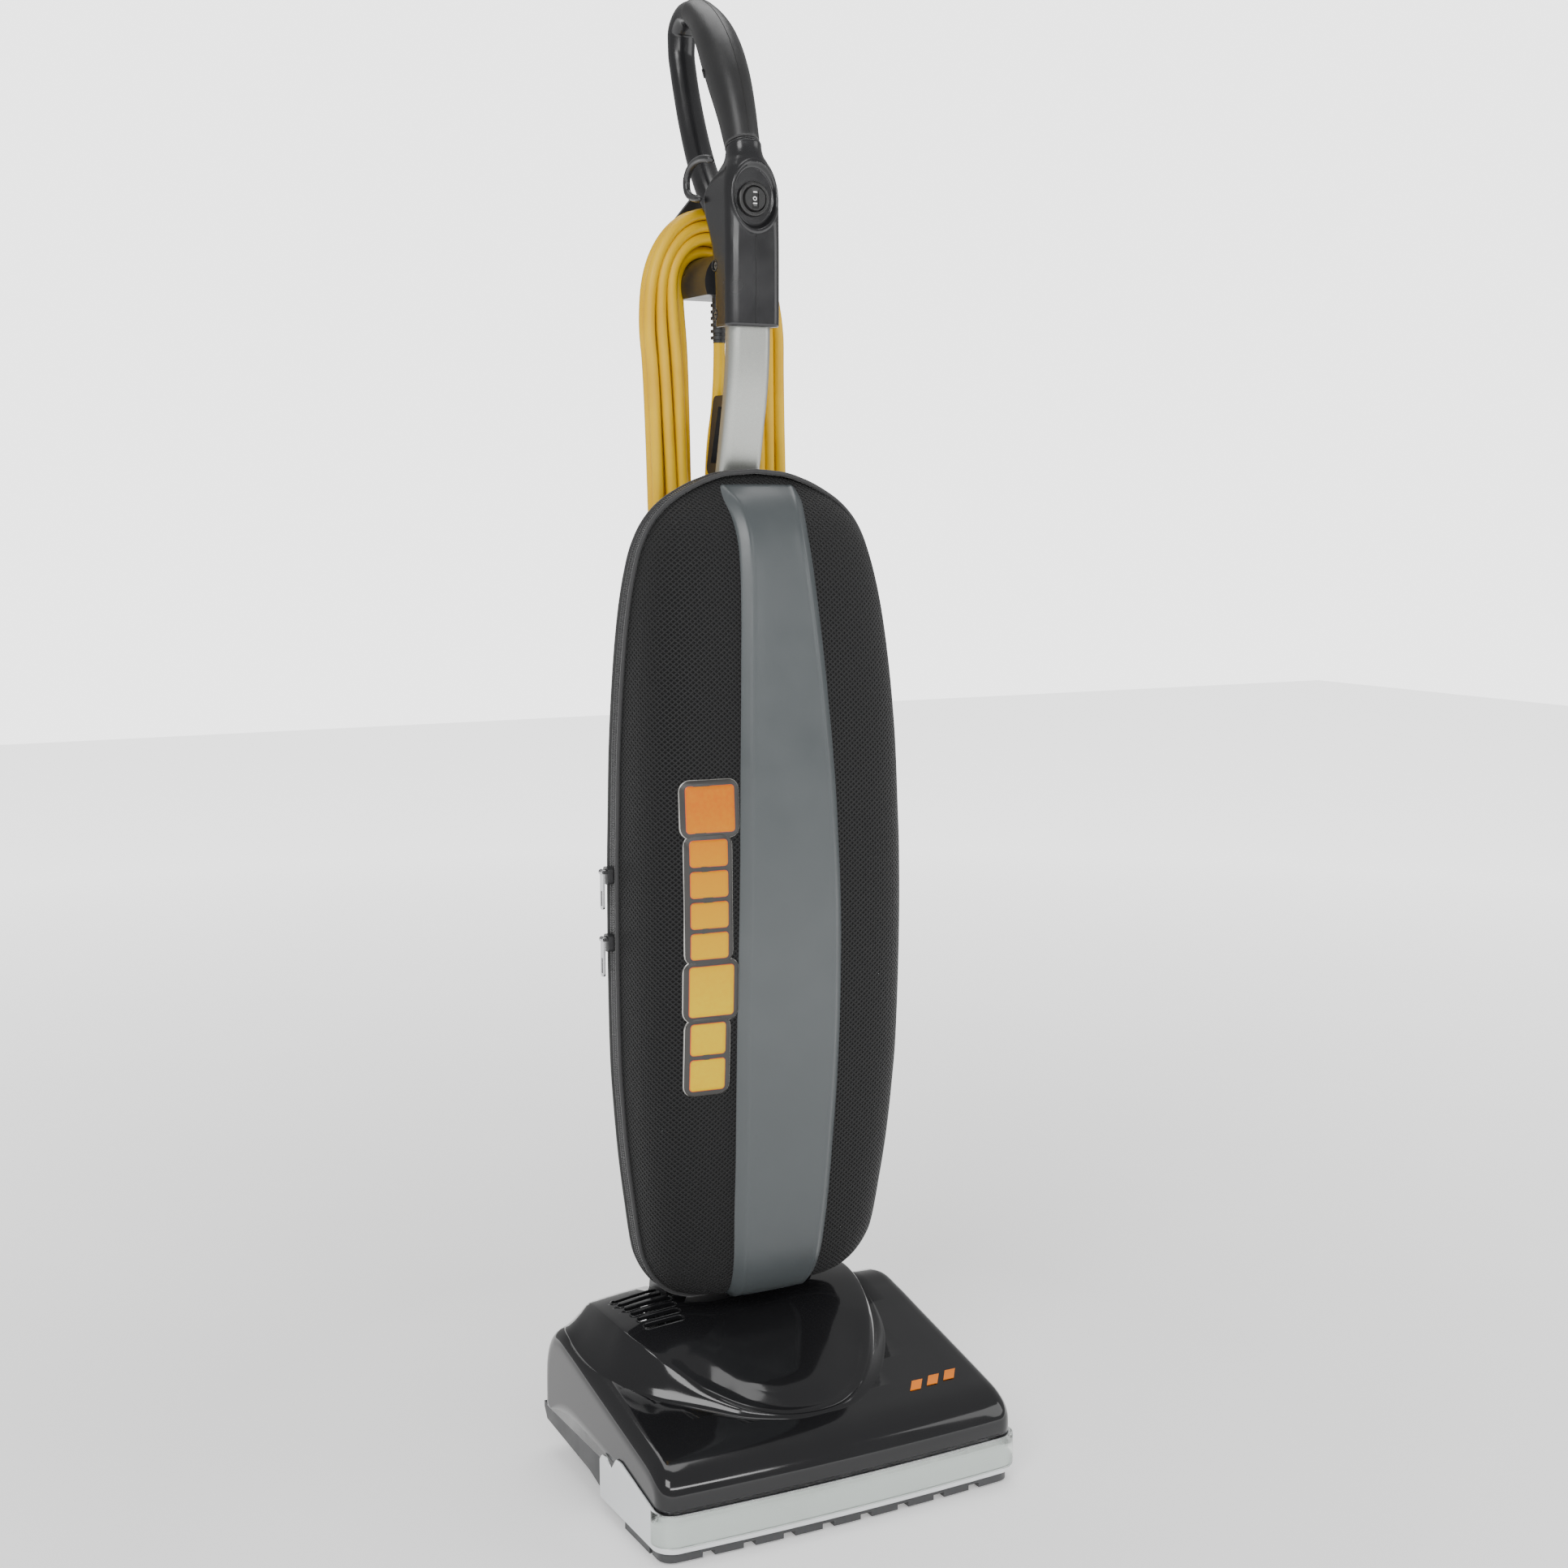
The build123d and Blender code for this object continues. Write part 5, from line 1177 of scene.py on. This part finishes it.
def make_switch_housing():
    """Switch housing, with its rings closer together at the screws and the recess."""
    heights = [930, 930.3, 930.8, 931.4]
    z = 932.6
    while z < 1071:
        heights.append(z)
        z += 1.1 if 934 < z < 946 or 972 < z < 984 or z > 998 else 3.0
    heights.append(1071.2)
    return rings_mesh("switch_housing", [housing_ring(h, *at_line(HOUSING_RINGS, h)) for h in heights])


# centre line of the loop, as (y, z), with the section's half width across and half depth
LOOP = [(30.5, 1064, 12.2, 11.6), (36.3, 1079, 12.6, 13.7), (42.0, 1094, 13.4, 14.9),
        (49.0, 1109.5, 14.4, 16.3), (57.7, 1126.3, 15.4, 17.2), (67.3, 1142.6, 15.9, 16.8),
        (78.5, 1159, 15.6, 14.8), (90, 1171.5, 14.4, 13.0), (102, 1181, 13.0, 11.4), (114, 1187.3, 12.2, 10.6),
        (127, 1189.2, 12.0, 10.3), (138, 1184.5, 12.0, 10.2), (144.2, 1175, 11.8, 9.6),
        (144.6, 1162, 11.4, 9.0), (141.0, 1146, 11.2, 8.8), (135.2, 1128, 11.2, 8.8),
        (128.4, 1110, 11.4, 8.8), (120.5, 1092, 11.6, 8.8), (111.5, 1074, 11.8, 9.0), (100.5, 1056, 12, 9.2),
        (86.5, 1038, 12.4, 9.6), (68.5, 1021, 13, 10.4), (52, 1010, 14, 11)]
LOOP_KEYS = [(*key, *LOOP[i][2:]) for i, key in enumerate(arc_keys([(y, z) for y, z, _, _ in LOOP]))]
LOOP_LENGTH = LOOP_KEYS[-1][0]


def loop_frame(s, ahead=0.5):
    """The loop's middle at arc length s, the way to its outside, and its half width and half depth."""
    y, z, a, b = at_line(LOOP_KEYS, s)
    y1, z1 = at_line(LOOP_KEYS, s + ahead)[:2]
    along = Vector((0, y1 - y, z1 - z)).normalized()
    return Vector((0, y, z)), Vector((0, -along.z, along.y)), a, b


END_ROUND = 2.2          # length over which the sleeve's ends round off


def loop_mesh(name, first, last, grow, stations=120, ridge=0.0, end_lean=0.0):
    """Part of the loop between two fractions of its length, grown outwards."""
    sides = 64
    rings = []
    for i in range(stations):
        share = i / (stations - 1)
        ring = []
        for angle in turns(sides):
            # an angle of 0 points along +X, and a quarter turn on is the loop's outside
            lean = end_lean * math.sin(angle) * share * share
            s = LOOP_LENGTH * (first + (last - first) * share) + lean
            centre, out, a, b = loop_frame(s)
            from_end = min(s - LOOP_LENGTH * first, LOOP_LENGTH * last - s) if grow > 0.5 else END_ROUND
            rounding = unit(from_end / END_ROUND)
            lift = grow * math.sqrt(max(0.0, 1 - (1 - rounding)**2))
            c, w = math.cos(angle), math.sin(angle)
            px, pd = (a + lift) * signed(c, 0.92), (b + lift) * signed(w, 0.92)
            if ridge and w > 0:
                pd += ridge * max(0.0, 1 - abs(px) / 3.2)
            ring.append(mm(centre + Vector((px, 0, 0)) + out * pd))
        rings.append(ring)
    return rings_mesh(name, rings)


def circle(centre, normal, radius, steps, height=0.0):
    """Points of a circle round a normal, lifted along it."""
    normal = Vector(normal).normalized()
    a = normal.orthogonal().normalized()
    b = normal.cross(a)
    middle = Vector(centre) + normal * height
    return [mm(middle + radius * (math.cos(t) * a + math.sin(t) * b)) for t in turns(steps)]


def torus(name, centre, normal, ring, radius, steps=40, sides=10):
    """A ring of round wire."""
    return tube_mesh(name, circle(centre, normal, ring, steps), radius * MM, sides=sides, closed=True)


def disc(name, centre, normal, radius, dome=0.3, steps=32):
    """A shallow domed disc."""
    rings = []
    for share, height in ((1.0, -0.6), (0.98, 0.0), (0.8, dome * 0.5), (0.4, dome * 0.9), (0.05, dome)):
        rings.append(circle(centre, normal, radius * share, steps, height))
    return rings_mesh(name, rings)


seam_dark = moulded("seam_shadow", (0.004, 0.004, 0.004), 0.6)
mark_white = moulded("mark_white", (0.75, 0.75, 0.75), 0.45)


housing = give(make_switch_housing(), shell_black)
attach(housing, "handle")
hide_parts("handle_shell_left", "handle_shell_right")
put(loop_mesh("handle_loop", 0.0, 1.0, 0.0, stations=150, ridge=0.5), shell_black, "handle")
grip = give(loop_mesh("grip_sleeve", 0.022, 0.405, 1.3, stations=110, end_lean=9.0), grip_black)
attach(grip, "handle")
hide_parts("soft_grip")
# bead where the sleeve meets the housing
centre, out, a, b = loop_frame(LOOP_LENGTH * 0.0195, ahead=LOOP_LENGTH * 0.001)
bead = []
for angle in turns(48):
    bead.append(mm(centre + Vector(((a + 1.1) * math.cos(angle), 0, 0)) + out * ((b + 1.1) * math.sin(angle))))
put(tube_mesh("sleeve_bead", bead, 0.75 * MM, sides=8, closed=True), shell_black, "handle")
# parting lines of the two halves and of the sleeve
low_line = [mm((0, HOUSING_FRONT - 0.02, z)) for z in range(932, 1003, 4)]
put(tube_mesh("parting_low", low_line, 0.28 * MM, sides=6), seam_dark, "handle")
grip_line = []
for i in range(60):
    centre, out, _, b = loop_frame(LOOP_LENGTH * (0.03 + 0.36 * i / 59))
    grip_line.append(mm(centre + out * (b + 1.33)))
put(tube_mesh("parting_grip", grip_line, 0.25 * MM, sides=6), seam_dark, "handle")
# boss on the sleeve's rear edge, screw recesses
boss_way = (-0.85, 0.45, -0.26)
boss_ring = torus("sleeve_boss_ring", (-15.3, 71.5, 1131.5), boss_way, 3.1, 0.8)
put(boss_ring, shell_black, "handle")
boss_hole = disc("sleeve_boss_hole", (-15.2, 71.4, 1131.5), boss_way, 2.6, dome=0.05)
put(boss_hole, seam_dark, "handle")
for n, z in enumerate(SCREW_HEIGHTS):
    rim = torus(f"screw_rim_{n}", (-23.5, SCREW_Y, z), (1, 0, 0), 4.2, 0.45)
    put(rim, shell_black, "handle")
    put(disc(f"screw_head_{n}", (-21.6, SCREW_Y, z), (-1, 0, 0), 2.7, dome=0.7), steel, "handle")
    cross = boxes_mesh(f"screw_cross_{n}", [((-22.6, 34.8, z - 0.4), (-22.0, 38.2, z + 0.4)),
                                            ((-22.6, 36.1, z - 1.7), (-22.0, 36.9, z + 1.7))])
    put(cross, seam_dark, "handle")


ROCKER_Z = 1028


def dish_y(z):
    """The rocker's hollow face."""
    return -18.5 + math.sqrt(30.5**2 - (z - ROCKER_Z)**2)


# the rocker's marks: height of each bar's foot, and where on the rocker's face it stands
bars = [((-1.7, dish_y(at) - 0.12, z), (1.7, dish_y(at) + 0.4, z + 0.9))
        for z, at in ((1032.6, 1033), (1021.9, 1023.4), (1023.9, 1023.4))]
put(boxes_mesh("rocker_bars", bars), mark_white, "rocker")
zero = torus("rocker_zero", (0, dish_y(ROCKER_Z) - 0.05, 1028.1), (0, 1, 0), 1.35, 0.38, steps=24, sides=6)
put(zero, mark_white, "rocker")
# cord ring, from the housing's side round to its back
RING = [(-22, 40, 1058.5), (-25.5, 44, 1061.2), (-27, 52.4, 1062), (-27, 62, 1061.2), (-27, 70, 1058.6),
        (-27, 76.5, 1053.8), (-27, 79.6, 1047), (-27, 78.4, 1040.5), (-27, 72.5, 1035.5), (-27, 63, 1032.6),
        (-27, 54, 1031)]
ring_points = smooth_line([(i, *p) for i, p in enumerate(RING)], 60)
open_ring = tube_mesh("cord_ring_bar", [mm(p[1:]) for p in ring_points],
                      [(3.0 if 2 < i < 57 else 1.2 + 0.6 * min(i, 59 - i)) * MM for i in range(60)], sides=16)
give(open_ring, hook_black)
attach(open_ring, "handle")
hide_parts("cord_ring")


# ---------------------------------------------------------------- paper filter bag
# height, half width, and depth forward of the bag's rear face
BAG_RINGS = [(226, 20, 6), (232, 52, 15), (246, 76, 22), (270, 90, 26), (310, 95, 28), (380, 97, 29),
             (470, 98, 30), (560, 97, 30), (640, 95, 29), (700, 90, 26), (735, 78, 22), (758, 58, 16),
             (768, 34, 9), (772, 14, 4)]


def make_filter_bag():
    """Slack paper bag: crowned faces, side gussets pulled in, and long soft creases."""
    rings = []
    for z, half, deep in smooth_line(BAG_RINGS, 120):
        ring = []
        for angle in turns(96):
            c, s = math.cos(angle), math.sin(angle)
            x = half * signed(c, 0.55)
            y = 4 - deep / 2 - deep / 2 * signed(s, 0.75)
            gusset = max(0.0, abs(c) - 0.96) / 0.04
            x -= math.copysign(5.0 * gusset, c) * min(1.0, deep / 20)
            crease = abs(math.sin(x / 17 + 0.9 * math.sin(z / 97) + 0.5)) ** 0.35
            fold = 2.6 * (1 - crease) + 1.1 * math.sin(z / 23 + x / 29 + 1.5 * math.sin(z / 71))
            if s > 0:
                y += fold * min(1.0, deep / 20) * s
            ring.append(mm((x, y, z)))
        rings.append(ring)
    return rings_mesh("paper_bag", rings)


bag = give(make_filter_bag(), paper)
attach(bag, "handle")
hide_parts("filter_bag")


# ---------------------------------------------------------------- brush
def make_bristles():
    """Two spiral rows of bristle tufts standing out of the roller."""
    verts, faces = [], []
    axis = Vector((0, -92, 33))
    low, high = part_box("brush_tufts")
    x0, x1 = low[0] / MM + 4, high[0] / MM - 4
    reach = max(abs(low[2] / MM - axis.z), abs(high[2] / MM - axis.z)) - 0.4
    picks = random.Random(3)
    for row in range(2):
        for i in range(34):
            x = x0 + (x1 - x0) * (i + 0.5) / 34
            turn = math.pi * row + 2 * math.pi * (x - x0) / (x1 - x0)
            for _ in range(26):
                around = turn + picks.uniform(-0.16, 0.16)
                foot = Vector((x + picks.uniform(-2.0, 2.0), 0, 0))
                tip = Vector((foot.x + picks.uniform(-1.5, 1.5), 0, 0))
                lean = around + picks.uniform(-0.07, 0.07)
                root = axis + foot + 14.5 * Vector((0, math.cos(around), math.sin(around)))
                end = axis + tip + reach * Vector((0, math.cos(lean), math.sin(lean)))
                across = Vector((0.16, 0, 0))
                side = (end - root).cross(across).normalized() * 0.16
                base = len(verts)
                verts += [mm(p + d) for p in (root, end) for d in (across, side, -across, -side)]
                for m, n in ((0, 1), (1, 2), (2, 3), (3, 0)):
                    faces.append((base + m, base + n, base + 4 + n, base + 4 + m))
                faces.append((base + 4, base + 5, base + 6, base + 7))
    return new_object("bristles", verts, faces, smooth=False)


bristles = give(make_bristles(), bristle)
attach(bristles, "brush")
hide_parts("brush_tufts")


# ---------------------------------------------------------------- guard and bumper round the nose
GUARD_IN, GUARD_OUT = 0.3, 0.3 + 1.6
BUMPER_END = NOSE_Y + 16
BUMPER_THICK, BUMPER_ROUND = 2.1, 0.9    # to the middle of its rounded edges, and their radius
WING_TOP = [(-150, 40.5), (-134, 40.5), (-66, 55), (-58, 54), (-48, 42), (-38, 48), (-30, 47), (-26, 42)]


def nose_path(outset, end_y):
    """Plan of the nose from left to right round both corners, as (x, y, outward x, outward y)."""
    half, front, corner = HOOD_HALF + outset, NOSE_Y - outset, HOOD_EDGE + outset
    left = [(-half, y, -1.0, 0.0) for y in (end_y + (front + corner - end_y) * k / 40 for k in range(41))]
    for k in range(1, 12):
        angle = math.radians(90 * k / 12)
        left.append((-half + corner - corner * math.cos(angle), front + corner - corner * math.sin(angle),
                     -math.cos(angle), -math.sin(angle)))
    middle = []
    for k in range(121):
        x = (-half + corner) + 2 * (half - corner) * k / 120
        slope = 2 * NOSE_BOW * x / half**2
        size = math.hypot(1, slope)
        middle.append((x, front - NOSE_BOW * (1 - (x / half)**2), slope / size, -1 / size))
    # ease the corner's last points onto the bowed front
    for k in range(1, 12):
        x, y, nx, ny = left[40 + k]
        left[40 + k] = (x, y + (middle[0][1] - front) * (k / 12)**2, nx, ny)
    right = [(-x, y, -nx, ny) for x, y, nx, ny in reversed(left)]
    return left + middle + right


def strip_round_nose(name, path, section):
    """Skin of a closed section along a path; section(y) gives its (outset, height) points."""
    rings = []
    for x, y, nx, ny in path:
        rings.append([mm((x + nx * out, y + ny * out, z)) for out, z in section(y)])
    return rings_mesh(name, rings)


def guard_section(y):
    """Flat sheet with slightly rounded edges, as tall as its wing is at y."""
    (y0, z0), (y1, z1) = next(pair for pair in zip(WING_TOP, WING_TOP[1:]) if y <= pair[1][0])
    top = z0 + (z1 - z0) * (y - y0) / (y1 - y0)
    thick = GUARD_OUT - GUARD_IN
    heights = [10 + (top - 10) * k / 6 for k in range(1, 6)]
    outside = [(thick - 0.35, 10), (thick, 10.35)] + [(thick, z) for z in heights]
    outside += [(thick, top - 0.6), (thick - 0.25, top - 0.15), (thick - 0.7, top)]
    return outside + [(0.1, top)] + [(0.0, z) for z in reversed(heights)] + [(0.0, 10)]


def bumper_section(y):
    """Full thickness across the front, thinning to nothing round the corners."""
    thin = 0.05 + 0.95 * unit((BUMPER_END - y) / 17) ** 0.7
    edges = arc(BUMPER_THICK, 39.6, BUMPER_ROUND, 90, -90, 4) + arc(BUMPER_THICK, 15.9, BUMPER_ROUND, 0, -90, 4)
    return [(0.05, 40.5)] + [(out * thin, z) for out, z in edges] + [(0.05, 15.0)]


guard = give(strip_round_nose("guard_strip", nose_path(GUARD_IN, -26.2), guard_section), zinc)
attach(guard, "base")
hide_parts("nozzle_guard")
guard.modifiers.new("corners", "EDGE_SPLIT").split_angle = math.radians(35)
bumper = give(strip_round_nose("bumper_strip", nose_path(GUARD_OUT, BUMPER_END), bumper_section), bumper_vinyl)
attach(bumper, "base")
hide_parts("furniture_bumper")


# ---------------------------------------------------------------- pads between rear shell and tube
pads = boxes_mesh("tube_pads", [((-15, 34, z - 14), (15, 41, z + 14)) for z in (300, 700)])
put(pads, pan_black, "handle")
rounding = pads.modifiers.new("rounding", "BEVEL")
rounding.width = 2.0 * MM
rounding.segments = 3


# ---------------------------------------------------------------- floor
def make_floor():
    """White floor that glows away from the object, so that it runs into the backdrop."""
    floor = new_object("floor", [(-6, -6, 0), (6, -6, 0), (6, 6, 0), (-6, 6, 0)], [(0, 1, 2, 3)], smooth=False)
    floor.location = (0, 0, -0.0005)
    n = Nodes("floor_white")
    tone = n.mix(n.span(n.noise(3, 2), 0, 1), (0.97, 0.97, 0.97), (1.0, 1.0, 1.0))
    away = n.add("ShaderNodeVectorMath", operation="LENGTH")
    n.link(n.coords("Object"), away.inputs[0])
    n.link(n.span(away.outputs["Value"], 0.3, 1.9, 0.5, 3.2), n.bsdf.inputs["Emission Strength"])
    give(floor, n.finish(tone, 0.6, Emission_Color=(1, 1, 1, 1)))


make_floor()

bpy.context.view_layer.update()
